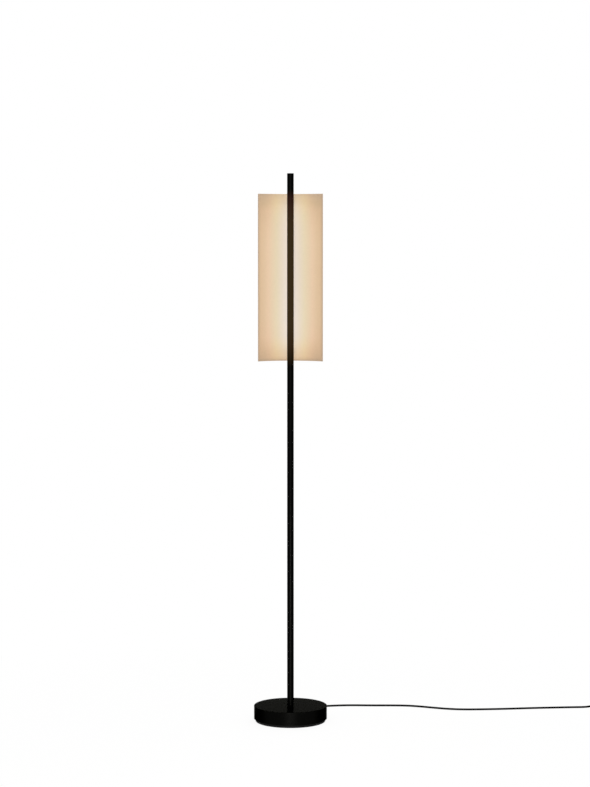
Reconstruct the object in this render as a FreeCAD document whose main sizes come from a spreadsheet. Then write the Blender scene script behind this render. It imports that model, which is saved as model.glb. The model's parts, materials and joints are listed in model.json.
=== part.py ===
import FreeCAD, Part
import math
import os
import re

import Sketcher
from FreeCAD import Placement, Rotation, Vector

# A column floor lamp. A round weighted base carries a thin straight post, and a tall curved
# sheet behind the post throws back the light of a strip that looks out of the post's rear.
# The post turns in the base, and a foot dimmer lies on the cord.
#
# Millimetres, +Z up. The origin is on the floor, on the post's axis. The viewer stands at -Y,
# so the sheet and the cord's exit are on the +Y side. Degrees are counted from +X.

DIMENSIONS = [
    ("lamp_height", 1650, "floor to the top of the post"),
    ("base_dia", 220, "outside of the base cover"),
    ("base_height", 47, "floor to the top of the base cover"),
    ("cover_wall", 3, "wall of the base cover"),
    ("cover_soften", 1.2, "rounding of the cover's top edge"),
    ("foot_dia", 210, "outside of the recessed foot ring"),
    ("foot_width", 15, "foot ring, outside to inside"),
    ("foot_height", 8, "height of the foot ring"),
    ("foot_soften", 0.8, "rounding of the foot ring's lower edge"),
    ("plate_wall", 2, "thickness of the bottom plate"),
    ("weight_height", 22, "thickness of the cast weight"),
    ("weight_gap", 0.5, "weight and plate to the cover's wall"),
    ("boss_dia", 12, "threaded bosses under the cover"),
    ("boss_inset", 8.5, "weight's edge to a boss"),
    ("counterbore_dia", 10, "recess for a cover screw's head"),
    ("counterbore_depth", 4, "depth of that recess"),
    ("cover_bite", 8, "cover screw's thread in its boss"),
    ("cover_thread", 10, "depth of the threaded hole in a boss"),
    ("plate_screw_inset", 10, "foot ring's inside to the plate screws"),
    ("plate_screw_length", 9, "plate screws"),
    ("hub_screw_length", 12, "hub screws"),
    ("post_dia", 20, "outside of the post"),
    ("post_wall", 1.5, "wall of the post"),
    ("cap_height", 4, "part of the cap above the tube"),
    ("cap_soften", 0.6, "rounding of the cap's edge"),
    ("plug_depth", 12, "part of a plug inside the tube"),
    ("hole_gap", 0.4, "play round the post in the cover's hole"),
    ("loose_gap", 0.3, "play between parts that only pass each other"),
    ("running_fit", 0.05, "radial play of a turning fit"),
    ("seat_gap", 0.05, "radial play of a screwed or pushed seat"),
    ("bush_wall", 2, "wall of the post bushes"),
    ("bush_space", 3, "space between the two bushes"),
    ("hub_wall", 4, "wall of the swivel hub"),
    ("hub_space", 1, "hub to the weight's bore"),
    ("flange_width", 12, "hub flange beyond the sleeve"),
    ("flange_wall", 4, "thickness of the hub's flange and floor"),
    ("stud_dia", 10, "threaded stud of the post spindle"),
    ("stud_bore", 5, "wire hole through the stud"),
    ("spindle_grip", 20, "part of the spindle inside the tube"),
    ("wire_room", 5, "space under the stud for the wire"),
    ("thread_spare", 1, "thread that shows past the nut"),
    ("nut_height", 4, "thickness of the spindle nut"),
    ("nut_flats", 17, "spindle nut across its flats"),
    ("washer_wall", 1, "thickness of each swivel washer"),
    ("washer_dia", 18, "outside of the spring and stop washers"),
    ("tab_reach", 13, "axis to the end of the stop tab"),
    ("tab_width", 3, "width of the stop tab"),
    ("pin_dia", 3, "stop pin"),
    ("pin_radius", 11.5, "axis to the stop pin's axis"),
    ("pin_drop", 2.4, "stop pin below the hub's floor"),
    ("shade_height", 503, "height of the curved sheet"),
    ("shade_chord", 195, "width of the sheet, straight across"),
    ("shade_depth", 48, "depth of the sheet's curve"),
    ("shade_wall", 1.5, "thickness of the sheet"),
    ("shade_gap", 33, "rear of the post to the sheet"),
    ("shade_drop", 61, "top of the post to the top of the sheet"),
    ("bracket_inset", 25, "sheet's end to a bracket's middle"),
    ("bracket_width", 14, "width of a bracket"),
    ("bracket_height", 18, "height of a bracket"),
    ("bracket_washer_dia", 11, "washers behind the sheet"),
    ("socket_flats_radius", 1.6, "hexagon socket, centre to corner"),
    ("socket_depth", 1.4, "depth of the hexagon socket"),
    ("screw_play", 0.1, "play round a screw that passes through"),
    ("slot_inset", 48, "sheet's end to the light slot's end"),
    ("slot_width", 12, "width of the light slot"),
    ("lens_wall", 1.4, "wall of the light slot's lens"),
    ("lens_gap", 0.1, "lens to the edge of the slot"),
    ("bar_inset", 8, "sheet's end to the heat bar's end"),
    ("bar_flat", 2, "post's axis to the bar's flat face"),
    ("bar_gap", 0.2, "heat bar to the tube"),
    ("bar_bite", 6, "bracket screw's thread in the heat bar"),
    ("board_width", 10, "width of the light board"),
    ("board_wall", 1.6, "thickness of the light board"),
    ("board_inset", 2, "slot's end to the light board's end"),
    ("chip_side", 3, "side of a light chip"),
    ("chip_height", 0.8, "height of a light chip"),
    ("chip_count", 28, "light chips on the board"),
    ("wire_dia", 2.5, "low-voltage wire"),
    ("wire_aside", 4, "post's axis to the wire beside the heat bar"),
    ("wire_bend", 30, "height over which the wire moves aside"),
    ("wire_play", 0.35, "wire to what it lies on"),
    ("wire_meet", 3, "height in the stud where the two wires meet"),
    ("lead_dia", 4, "mains lead to the driver"),
    ("driver_length", 60, "driver, along Y"),
    ("driver_width", 30, "driver, along X"),
    ("driver_height", 20, "height of the driver"),
    ("driver_sink", 16, "depth of the driver's recess"),
    ("driver_space", 18, "hub flange to the driver"),
    ("lug_length", 8, "driver's fixing lugs"),
    ("lug_wall", 3, "thickness of the lugs"),
    ("recess_room", 2, "play round the driver and its lead"),
    ("small_bite", 5, "small screws' thread in the weight"),
    ("cord_dia", 6, "mains cord"),
    ("cord_rise", 26, "floor to the cord's axis in the base"),
    ("gland_nose", 24, "tapered part of the gland"),
    ("gland_flange", 17, "outside of the gland's flange"),
    ("gland_neck", 12, "gland where it passes the wall"),
    ("gland_tail", 5, "gland inside the wall"),
    ("gland_slope", 2.5, "step from the gland's flange to its nose"),
    ("gland_lip", 1.2, "wall of the gland at its tip"),
    ("gland_nut_wall", 4, "thickness of the gland's nut"),
    ("gland_nut_dia", 15, "outside of the gland's nut"),
    ("curve_gap", 0.4, "flat nut to the cover's round wall"),
    ("rim_wall", 2, "thickness of thin flanges and rims"),
    ("terminal_near", 50, "axis to the terminal block"),
    ("terminal_length", 22, "terminal block, along Y"),
    ("terminal_width", 24, "terminal block, along X"),
    ("terminal_height", 14, "height of the terminal block"),
    ("clamp_near", 80, "axis to the cord clamp"),
    ("clamp_length", 12, "cord clamp, along Y"),
    ("clamp_width", 30, "cord clamp, along X"),
    ("clamp_height", 13, "height of the cord clamp"),
    ("clamp_screw_inset", 4, "clamp's end to its screw"),
    ("cord_bed", 5, "weight's rear recess to the cord"),
    ("terminal_room", 4, "rear recess in front of the terminal block"),
    ("side_room", 5, "rear recess beside the clamp"),
    ("dimmer_middle", 1020, "post's axis to the dimmer's middle"),
    ("dimmer_back", 178, "how far behind the post the dimmer lies"),
    ("dimmer_length", 90, "dimmer, along the cord"),
    ("dimmer_width", 52, "dimmer, across the cord"),
    ("dimmer_height", 26, "height of the dimmer's case"),
    ("dimmer_seam", 12, "floor to the dimmer's seam"),
    ("dimmer_wall", 2, "wall of the dimmer's case"),
    ("dimmer_corner", 20, "dimmer's corner radius"),
    ("dimmer_edge", 4, "rounding of the dimmer's top edge"),
    ("dimmer_axis", 7, "floor to the cord's axis in the dimmer"),
    ("dimmer_nose", 20, "moulded sleeves at the dimmer"),
    ("sleeve_wall", 0.7, "wall of a sleeve at its tip and neck"),
    ("sleeve_collar", 2.4, "wall of a sleeve at the dimmer"),
    ("sleeve_collar_length", 3, "straight part of a sleeve"),
    ("sleeve_head", 1.9, "wall of a sleeve inside the dimmer"),
    ("dimmer_screw_along", 33, "dimmer's middle to its screws, along"),
    ("dimmer_screw_across", 17, "dimmer's middle to its screws, across"),
    ("dimmer_screw_length", 10, "dimmer screws"),
    ("screw_post_dia", 6.4, "screw posts in the dimmer"),
    ("rib_along", 22, "dimmer's middle to a rib under the board"),
    ("rib_wall", 2, "thickness of a rib"),
    ("circuit_length", 56, "dimmer's board, along the cord"),
    ("circuit_width", 28, "dimmer's board, across the cord"),
    ("button_dia", 30, "foot button"),
    ("button_proud", 4, "button above the case"),
    ("button_travel", 2, "how far the button goes down"),
    ("button_rim", 3, "rim that keeps the button in"),
    ("button_wall", 2.5, "thickness of the button's rim"),
    ("button_soften", 1.5, "rounding of the button's edge"),
    ("stem_dia", 5, "button's stem"),
    ("stem_length", 8, "length of the button's stem"),
    ("stem_gap", 0.2, "pressed stem to the switch"),
    ("switch_dia", 6.8, "switch under the button"),
    ("spring_dia", 12.4, "outside of the button's spring"),
    ("spring_wire", 1.2, "wall of the button's spring"),
    ("board_rise", 5, "floor to the dimmer's board"),
    ("plug_length", 35, "plug body, along its pins"),
    ("plug_width", 35, "plug body, across its pins"),
    ("plug_height", 14, "height of the plug body"),
    ("plug_nose", 20, "tapered part of the plug"),
    ("plug_collar", 12, "tapered part where it meets the body"),
    ("plug_corner", 6, "plug body's corner radius"),
    ("plug_edge", 3, "rounding of the plug's top edge"),
    ("plug_lip", 0.8, "wall of the plug's sleeve at its tip"),
    ("plug_tip", 1078, "post's axis to the plug's tapered part"),
    ("plug_back", 86.05, "how far behind the post the plug lies"),
    ("prong_dia", 4, "plug pins"),
    ("prong_length", 19, "length of the plug pins"),
    ("prong_pitch", 18.6, "plug pin to plug pin"),
    ("prong_taper", 1, "chamfer at a pin's end"),
    ("coil_inner", 24.5, "coil's axis to its tightest turn"),
    ("coil_turn_gap", 0.6, "turn to the turn beside it"),
    ("coil_layer_gap", 0.7, "layer to the layer below"),
    ("coil_turns", 6.5, "turns in the coil, in and out together"),
]

# Where the pieces meet, each as a relation between the sizes above.
POST_R = "(post_dia / 2)"
TUBE_BORE = "(post_dia / 2 - post_wall)"
TUBE_TOP = "(lamp_height - cap_height)"
COVER_R = "(base_dia / 2)"
COVER_INNER = "(base_dia / 2 - cover_wall)"
COVER_UNDER = "(base_height - cover_wall)"
PLATE_TOP = "(foot_height + plate_wall)"
WEIGHT_R = "(base_dia / 2 - cover_wall - weight_gap)"
WEIGHT_TOP = "(foot_height + plate_wall + weight_height)"
STUD_END = f"({PLATE_TOP} + wire_room)"
NUT_LOW = f"({STUD_END} + thread_spare)"
NUT_TOP = f"({NUT_LOW} + nut_height)"
STOP_TOP = f"({NUT_TOP} + washer_wall)"
HUB_LOW = f"({STOP_TOP} + washer_wall)"
HUB_FLOOR = f"({HUB_LOW} + flange_wall)"
TUBE_END = f"({HUB_FLOOR} + washer_wall)"
HUB_BORE = "(post_dia / 2 + bush_wall)"
HUB_R = "(post_dia / 2 + bush_wall + hub_wall)"
FLANGE_R = f"({HUB_R} + flange_width)"
FLANGE_TOP = f"({WEIGHT_TOP} + flange_wall)"
STUD_HOLE = "(stud_dia / 2 + running_fit)"
WASHER_HOLE = "(stud_dia / 2 + loose_gap)"
SHADE_TOP = "(lamp_height - shade_drop)"
SHADE_LOW = "(lamp_height - shade_drop - shade_height)"
SHADE_R = "(((shade_chord / 2) ^ 2 + shade_depth ^ 2) / (2 * shade_depth))"
SHADE_BACK_Y = "(post_dia / 2 + shade_gap + shade_wall)"
SHADE_AXIS_Y = f"({SHADE_BACK_Y} - {SHADE_R})"
SLOT_LOW = f"({SHADE_LOW} + slot_inset)"
SLOT_TOP = f"({SHADE_TOP} - slot_inset)"
BOARD_LOW = f"({SLOT_LOW} + board_inset)"
BOARD_LENGTH = f"({SLOT_TOP} - {SLOT_LOW} - 2 * board_inset)"
BOARD_BACK = "(bar_flat + board_wall)"
DRIVER_NEAR = f"({FLANGE_R} + driver_space)"
DRIVER_MIDDLE = f"({DRIVER_NEAR} + driver_width / 2)"
DRIVER_SEAT = f"({WEIGHT_TOP} - driver_sink)"
RECESS_FLOOR = "(cord_rise - cord_dia / 2 - cord_bed)"
TERMINAL_FAR = "(terminal_near + terminal_length)"
BOSS_RADIUS = f"({WEIGHT_R} - boss_dia / 2 - boss_inset)"
PLATE_SCREW_RADIUS = "(foot_dia / 2 - foot_width - plate_screw_inset)"
HUB_SCREW_RADIUS = f"({HUB_R} + flange_width / 2)"
HOOD_UNDER = "(dimmer_height - dimmer_wall)"
RIM_LOW = f"({HOOD_UNDER} - button_wall)"
CIRCUIT_TOP = "(board_rise + board_wall)"
SLEEVE_NECK = "(cord_dia / 2 + sleeve_wall)"

GLAND_TIP = "(base_dia / 2 + rim_wall + gland_nose)"

# How far a cutting shape runs past the face that it opens.
OVER = 1

# The pitch circles carry three screws, and the plate four.
THIRDS = (0, 120, 240)
QUARTERS = (45, 135, 225, 315)

# Screws: (shank diameter, head diameter, head height).
SCREW_M3 = (3, 5.6, 2.4)
SCREW_M4 = (4, 7.6, 2.6)
SCREW_M5 = (5, 8.5, 3.5)
SCREW_PLATE = (4, 7.6, 1.9)
SCREW_FLAT = (3, 5.6, 0.7)

# How a piece made upright along Z is turned to look another way.
UPRIGHT = Rotation()
DOWNWARD = Rotation(Vector(1, 0, 0), 180)
BACKWARD = Rotation(Vector(1, 0, 0), -90)
RIGHTWARD = Rotation(Vector(0, 1, 0), 90)
LEFTWARD = Rotation(Vector(0, 1, 0), -90)
ABOUT_Z = Rotation(Vector(0, 0, 1), 45)

# The cord's own line on the floor, chosen by eye: it leaves the base's rear, comes round to
# the right and runs on in long slack bends to the dimmer.
LEAD_ROUTE = [
    (0, 136, 26),
    (0, 154.5, 26),
    (8.5, 171.3, 22),
    (23.5, 182.6, 14.5),
    (48.5, 187, 6.5),
    (92, 190.5, 3.05),
    (138, 202.5, 3.05),
    (190, 208, 3.05),
    (250, 204, 3.05),
    (312, 204.5, 3.05),
    (365, 201.5, 3.05),
    (405, 187.5, 3.05),
    (447, 168, 3.05),
    (490, 151, 3.05),
    (535, 143.5, 3.05),
    (595, 146, 3.05),
    (665, 152.5, 3.05),
    (740, 163.5, 3.05),
    (818, 171.5, 3.05),
    (880, 177, 3.05),
    (917, 178, 3.2),
    (937, 178, 7),
    (955, 178, 7),
]

# Past the dimmer the spare cord is wound up: in to the coil, and out of it to the plug.
LINK_ROUTE = [
    (1085, 178, 7),
    (1101, 178, 7),
    (1119, 178, 3.05),
    (1136, 178, 3.05),
]
TAIL_ROUTE = [
    (1136, 86.05, 9.75),
    (1124, 86.05, 9.75),
    (1111, 86.05, 7),
    (1098, 86.05, 7),
]

# The coil: two layers of turns, in and out again, with a straight end of one diameter.
COIL_START = Vector(*LINK_ROUTE[-1])

doc = FreeCAD.newDocument("column_lamp")
dims = doc.addObject("Spreadsheet::Sheet", "dims")
for line, (alias, size, note) in enumerate(DIMENSIONS, start=1):
    dims.set(f"A{line}", note)
    dims.set(f"B{line}", str(size))
    dims.setAlias(f"B{line}", alias)
doc.recompute()
ALIASES = {alias for alias, size, note in DIMENSIONS}

nodes = []


# ---- sizes and places -------------------------------------------------------------------

def bound(relation):
    """A relation with every size's name pointed at its cell."""
    def cell(word):
        return "dims." + word.group() if word.group() in ALIASES else word.group()
    return re.sub(r"[a-z_]+", cell, str(relation))


def value(relation):
    """What a relation comes to, in millimetres or degrees."""
    found = dims.evalExpression(bound(relation))
    return float(getattr(found, "Value", found))


def point(place):
    return Vector(*[value(part) for part in place])


def bind(thing, property_name, relation):
    thing.setExpression(property_name, bound(relation))


def put(thing, place, turn=UPRIGHT):
    """Turns a piece and binds where its own origin lies."""
    thing.Placement = Placement(Vector(), turn)
    for axis, relation in zip("xyz", place):
        if relation != 0:
            bind(thing, "Placement.Base." + axis, relation)


def on_circle(radius, degrees, height):
    """A place on a circle round the post's axis."""
    return (f"({radius}) * cos({degrees})", f"({radius}) * sin({degrees})", height)


def node(name, thing):
    """Marks a finished piece and gives it its name."""
    thing.Label = name
    nodes.append(thing)
    return thing


# ---- shaping ----------------------------------------------------------------------------

def outline_sketch(body, plane, corners):
    """A closed outline of straight lines, each corner bound to its two relations."""
    sketch = body.newObject("Sketcher::SketchObject", body.Name + "_outline")
    planes = [item for item in body.Origin.OriginFeatures if item.Role == plane]
    sketch.AttachmentSupport = [(planes[0], "")]
    sketch.MapMode = "FlatFace"
    spots = [Vector(value(across), value(up), 0) for across, up in corners]
    count = len(spots)
    for index in range(count):
        sketch.addGeometry(Part.LineSegment(spots[index], spots[(index + 1) % count]), False)
    for index in range(count):
        sketch.addConstraint(Sketcher.Constraint("Coincident", index, 2, (index + 1) % count, 1))
    for index, corner in enumerate(corners):
        for kind, axis_line, relation, start in zip(("DistanceX", "DistanceY"), (-2, -1),
                                                    corner, (spots[index].x, spots[index].y)):
            if relation == 0:
                sketch.addConstraint(Sketcher.Constraint("PointOnObject", index, 1, axis_line))
                continue
            number = sketch.addConstraint(Sketcher.Constraint(kind, index, 1, start))
            label = f"{kind}_{index}"
            sketch.renameConstraint(number, label)
            sketch.setExpression("Constraints." + label, bound(relation))
    return sketch


def turned(name, corners, place=(0, 0, 0), turn=UPRIGHT):
    """A lathe piece: corners are (radius, height) round its own Z axis."""
    body = doc.addObject("PartDesign::Body", name)
    lathe_sketch = outline_sketch(body, "XZ_Plane", corners)
    lathe = body.newObject("PartDesign::Revolution", name + "_turning")
    lathe.Profile = lathe_sketch
    lathe.ReferenceAxis = (lathe_sketch, ["V_Axis"])
    lathe.Angle = 360
    put(body, place, turn)
    return body


def padded(name, corners, height, place=(0, 0, 0), turn=UPRIGHT):
    """A plate piece: corners are (x, y), raised by height."""
    body = doc.addObject("PartDesign::Body", name)
    pad = body.newObject("PartDesign::Pad", name + "_raising")
    pad.Profile = outline_sketch(body, "XY_Plane", corners)
    bind(pad, "Length", height)
    put(body, place, turn)
    return body


def soften(body, radius, chosen):
    """Rounds the edges of a body's last feature that the chosen test picks."""
    doc.recompute()
    last = body.Tip
    names = [f"Edge{number}" for number, edge in enumerate(last.Shape.Edges, start=1) if chosen(edge)]
    fillet = body.newObject("PartDesign::Fillet", body.Name + "_soft")
    fillet.Base = (last, names)
    bind(fillet, "Radius", radius)
    return body


def ring_at(radius, height):
    """Picks the circular edge with this radius at this height."""
    def chosen(edge):
        curve = edge.Curve
        return (isinstance(curve, Part.Circle) and abs(curve.Radius - value(radius)) < 1e-4
                and abs(curve.Center.z - value(height)) < 1e-4)
    return chosen


def upright_edge(edge):
    return abs(edge.tangentAt(edge.FirstParameter).z) > 0.999


def level_at(height):
    """Picks every edge that lies wholly at this height."""
    def chosen(edge):
        return abs(edge.BoundBox.ZMin - value(height)) < 1e-4 and edge.BoundBox.ZLength < 1e-4
    return chosen


def block(name, across, back, up):
    """A straight block between two relations along each axis."""
    box = doc.addObject("Part::Box", name)
    for side, (low, high) in zip(("Length", "Width", "Height"), (across, back, up)):
        bind(box, side, f"({high}) - ({low})")
    put(box, (across[0], back[0], up[0]))
    return box


def rounded_block(name, length, width, height, corner, place):
    """A block centred on its own Z axis, with round upright edges."""
    half_length, half_width = f"{length} / 2", f"{width} / 2"
    corners = [(f"-{half_length}", f"-{half_width}"), (half_length, f"-{half_width}"),
               (half_length, half_width), (f"-{half_length}", half_width)]
    return soften(padded(name, corners, height, place), corner, upright_edge)


def rod(name, radius, length, place, turn=UPRIGHT):
    cylinder = doc.addObject("Part::Cylinder", name)
    bind(cylinder, "Radius", radius)
    bind(cylinder, "Height", length)
    put(cylinder, place, turn)
    return cylinder


def joined(name, pieces):
    fusion = doc.addObject("Part::MultiFuse", name)
    fusion.Shapes = pieces
    fusion.Refine = True
    return fusion


def cut(name, base, tools):
    """The base less every tool."""
    taken = doc.addObject("Part::Cut", name)
    taken.Base = base
    taken.Tool = tools[0] if len(tools) == 1 else joined(name + "_tools", tools)
    return taken


def common(name, first, second):
    shared = doc.addObject("Part::Common", name)
    shared.Base = first
    shared.Tool = second
    return shared


def group(name, pieces):
    """Separate solids that share one node."""
    together = doc.addObject("Part::Compound", name)
    together.Links = pieces
    return together


# ---- screws and their holes -------------------------------------------------------------

def pan_screw(name, kind, length, place, turn=UPRIGHT):
    """A flat-topped screw whose head stands on its own XY plane, with the shank below."""
    shank, head, head_height = kind
    corners = [(0, f"-({length})"), (shank / 2, f"-({length})"), (shank / 2, 0), (head / 2, 0),
               (head / 2, head_height), (0, head_height)]
    return turned(name, corners, place, turn)


def sunk_screw(name, kind, length, place, turn=UPRIGHT, grow=0):
    """A countersunk screw whose top lies on its own XY plane; grow makes its seat."""
    shank, head, head_height = kind
    corners = [(0, f"-({length} + {grow})"), (f"{shank / 2} + {grow}", f"-({length} + {grow})"),
               (f"{shank / 2} + {grow}", -head_height), (f"{head / 2} + {grow}", 0)]
    if grow:
        corners += [(f"{head / 2} + {grow}", grow), (0, grow)]
    else:
        corners += [(0, 0)]
    return turned(name, corners, place, turn)


def screw_hole(name, kind, length, place, turn=UPRIGHT, play="seat_gap"):
    """The hole for a shank, from its own XY plane down."""
    corners = [(0, f"-({length})"), (f"{kind[0] / 2} + {play}", f"-({length})"),
               (f"{kind[0] / 2} + {play}", 0), (0, 0)]
    return turned(name, corners, place, turn)


# ---- cords and wires --------------------------------------------------------------------

def arc_through(start, middle, end):
    return Part.Arc(start, middle, end).toShape()


def rounded_path(points):
    """Straight runs joined by tangent arcs, each as large as its two runs allow."""
    edges = []
    radii = []
    here = points[0]
    for before, corner, after in zip(points, points[1:], points[2:]):
        into = (corner - before).normalize()
        out = (after - corner).normalize()
        half_turn = into.getAngle(out) / 2
        reach = 0.45 * min((corner - before).Length, (after - corner).Length)
        radius = reach / math.tan(half_turn)
        start = corner - into * reach
        end = corner + out * reach
        inward = (out - into).normalize()
        middle = corner + inward * (radius / math.cos(half_turn) - radius)
        edges.append(Part.LineSegment(here, start).toShape())
        edges.append(arc_through(start, middle, end))
        radii.append(radius)
        here = end
    edges.append(Part.LineSegment(here, points[-1]).toShape())
    return Part.Wire(edges), radii


def swept(name, path, diameter):
    """A round solid along a path, as a feature whose shape is set here."""
    first = path.Edges[0]
    start = first.Vertexes[0].Point
    ring = Part.Circle(start, first.tangentAt(first.FirstParameter), diameter / 2).toShape()
    shape = path.makePipeShell([Part.Wire([ring])], True, False)
    section = math.pi * diameter ** 2 / 4
    print(f"{name}: length {path.Length:.1f}, volume {shape.Volume:.0f}, "
          f"section x length {section * path.Length:.0f}")
    solid = doc.addObject("Part::Feature", name)
    solid.Shape = shape
    return solid


def free_cord(name, route):
    path, radii = rounded_path([Vector(*spot) for spot in route])
    print(f"{name}: arc radii " + ", ".join(f"{radius:.0f}" for radius in radii))
    return swept(name, path, value("cord_dia"))


def held_wire(name, places, diameter):
    """A wire inside the lamp, along places that follow the pieces round it."""
    path = rounded_path([point(place) for place in places])[0]
    return swept(name, path, value(diameter))


def biarc(start, start_way, end, end_way):
    """Two arcs that leave start and reach end along the given ways."""
    across = end - start
    ways = start_way + end_way
    spread = 2 * (1 - start_way.dot(end_way))
    reach = (-across.dot(ways) + math.sqrt(across.dot(ways) ** 2 + spread * across.dot(across))) / spread
    first_corner = start + start_way * reach
    last_corner = end - end_way * reach
    joint = (first_corner + last_corner) / 2
    arcs = []
    for near, corner, far in ((start, first_corner, joint), (joint, last_corner, end)):
        into = (corner - near).normalize()
        out = (far - corner).normalize()
        half_turn = into.getAngle(out) / 2
        radius = (corner - near).Length / math.tan(half_turn)
        inward = (out - into).normalize()
        middle = corner + inward * (radius / math.cos(half_turn) - radius)
        arcs.append(arc_through(near, middle, far))
    return arcs


def coil_spot(turns, centre):
    """Where the coil's line is after so many turns, and the way it runs there."""
    step = value("cord_dia + coil_turn_gap")
    climb = value("cord_dia + coil_layer_gap")
    all_turns = value("coil_turns")
    from_back = turns - all_turns / 2
    radius = value("coil_inner") + step * abs(from_back)
    drift = 0.0 if turns in (0.0, all_turns) or from_back == 0 else math.copysign(step, from_back)
    climbed = min(max(from_back + 0.25, 0.0), 0.5)
    height = climb * (1 - math.cos(2 * math.pi * climbed)) / 2
    rising = climb * math.pi * math.sin(2 * math.pi * climbed)
    angle = math.pi / 2 - 2 * math.pi * turns
    outward = Vector(math.cos(angle), math.sin(angle), 0)
    clockwise = Vector(outward.y, -outward.x, 0)
    spot = centre + outward * radius + Vector(0, 0, height)
    way = clockwise * (2 * math.pi * radius) + outward * drift + Vector(0, 0, rising)
    return spot, way.normalize()


def coiled_cord(name):
    """Quarter turns that spiral in on the floor, climb where they turn back, and spiral out."""
    outer = value("coil_inner + (cord_dia + coil_turn_gap) * coil_turns / 2")
    run = Vector(value("cord_dia"), 0, 0)
    centre = COIL_START + run - Vector(0, outer, 0)
    quarter_count = int(value("coil_turns") * 4)
    quarters = [coil_spot(index / 4, centre) for index in range(quarter_count + 1)]
    edges = [Part.LineSegment(COIL_START, quarters[0][0]).toShape()]
    for (start, start_way), (end, end_way) in zip(quarters, quarters[1:]):
        edges += biarc(start, start_way, end, end_way)
    last = quarters[-1][0]
    edges.append(Part.LineSegment(last, last - run).toShape())
    path = Part.Wire(edges)
    print_least_gap(name, path, value("cord_dia"))
    return swept(name, path, value("cord_dia"))


def print_least_gap(name, path, diameter):
    """Measured between points of the line that are more than three diameters apart on it."""
    pitch = 2.0
    spots = path.discretize(Distance=pitch)
    apart = int(3 * diameter / pitch)
    least = min(spots[near].distanceToPoint(spots[far])
                for near in range(len(spots)) for far in range(near + apart, len(spots)))
    print(f"{name}: least gap to itself {least - diameter:.2f}")


# ---- base -------------------------------------------------------------------------------

def base_cover():
    """A turned steel cup, open below, with a hole for the post and three bosses inside."""
    post_hole = f"{POST_R} + hole_gap"
    shell = turned("cover_shell", [
        (post_hole, COVER_UNDER), (COVER_INNER, COVER_UNDER), (COVER_INNER, "foot_height"),
        (COVER_R, "foot_height"), (COVER_R, "base_height"), (post_hole, "base_height")])
    soften(shell, "cover_soften", ring_at(COVER_R, "base_height"))
    bosses = []
    threads = []
    for degrees in THIRDS:
        bosses.append(rod(f"cover_boss_{degrees}", "boss_dia / 2", f"{COVER_UNDER} - {WEIGHT_TOP}",
                          on_circle(BOSS_RADIUS, degrees, WEIGHT_TOP)))
        threads.append(screw_hole(f"boss_thread_{degrees}", SCREW_M5, "cover_thread",
                                  on_circle(BOSS_RADIUS, degrees, WEIGHT_TOP), DOWNWARD))
    gland_hole = rod("gland_hole", "gland_neck / 2 + seat_gap", "cover_wall * 3",
                     (0, f"{COVER_INNER} - cover_wall", "cord_rise"), BACKWARD)
    return cut("cover", joined("cover_and_bosses", [shell] + bosses), threads + [gland_hole])


def clamp_screw_place(side, height):
    return (f"{side} * (clamp_width / 2 - clamp_screw_inset)", "clamp_near + clamp_length / 2", height)


def lug_place(side, height):
    return (f"-{DRIVER_MIDDLE}", f"{side} * (driver_length / 2 + lug_length / 2)", height)


def base_weight():
    """A cast disc with a bore for the hub and recesses for what it carries."""
    bore = f"{HUB_R} + hub_space"
    disc = turned("weight_disc", [(bore, PLATE_TOP), (WEIGHT_R, PLATE_TOP),
                                  (WEIGHT_R, WEIGHT_TOP), (bore, WEIGHT_TOP)])
    above = f"{WEIGHT_TOP} + {OVER}"
    driver_end = "(driver_length / 2 + lug_length + recess_room)"
    driver_sides = (f"-({DRIVER_NEAR} + driver_width + recess_room)", f"-({DRIVER_NEAR} - recess_room)")
    rear_half = "(clamp_width / 2 + side_room)"
    lead_side = f"-({DRIVER_MIDDLE} + lead_dia + recess_room)"
    lead_row = f"(terminal_near + {TERMINAL_FAR}) / 2"
    wire_half = "(wire_dia / 2 + recess_room)"
    cuts = [
        block("driver_recess", driver_sides, (f"-{driver_end}", driver_end), (DRIVER_SEAT, above)),
        block("rear_recess", (f"-{rear_half}", rear_half),
              ("terminal_near - terminal_room", "base_dia / 2"), (RECESS_FLOOR, above)),
        block("lead_channel", (lead_side, f"-{rear_half} + {OVER}"),
              (f"{driver_end} - {OVER}", f"{lead_row} + lead_dia / 2 + recess_room"),
              ("cord_rise - lead_dia - recess_room", above)),
        block("wire_channel", (f"-{DRIVER_NEAR}", f"-{HUB_R}"), (f"-{wire_half}", wire_half),
              (f"{PLATE_TOP} - {OVER}", above)),
    ]
    for degrees in THIRDS:
        cuts.append(screw_hole(f"weight_hole_{degrees}", SCREW_M5, f"weight_height + 2 * {OVER}",
                               on_circle(BOSS_RADIUS, degrees, above), play="loose_gap"))
        cuts.append(rod(f"weight_counterbore_{degrees}", "counterbore_dia / 2",
                        f"counterbore_depth + {OVER}",
                        on_circle(BOSS_RADIUS, degrees, f"{PLATE_TOP} - {OVER}")))
        cuts.append(screw_hole(f"hub_thread_{degrees}", SCREW_M4, f"hub_screw_length - flange_wall + 2 * {OVER}",
                               on_circle(HUB_SCREW_RADIUS, degrees, f"{WEIGHT_TOP} + {OVER}")))
    for degrees in QUARTERS:
        cuts.append(screw_hole(f"plate_thread_{degrees}", SCREW_M4, "plate_screw_length",
                               on_circle(PLATE_SCREW_RADIUS, degrees, f"{PLATE_TOP} - {OVER}"),
                               DOWNWARD))
    for side in (-1, 1):
        clamp_spot = clamp_screw_place(side, f"{RECESS_FLOOR} + {OVER}")
        lug_spot = lug_place(side, f"{DRIVER_SEAT} + {OVER}")
        cuts.append(screw_hole(f"clamp_thread_{side}", SCREW_M3, f"small_bite + 2 * {OVER}", clamp_spot))
        cuts.append(screw_hole(f"driver_thread_{side}", SCREW_M3, f"small_bite + 2 * {OVER}", lug_spot))
    return cut("weight", disc, cuts)


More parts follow.
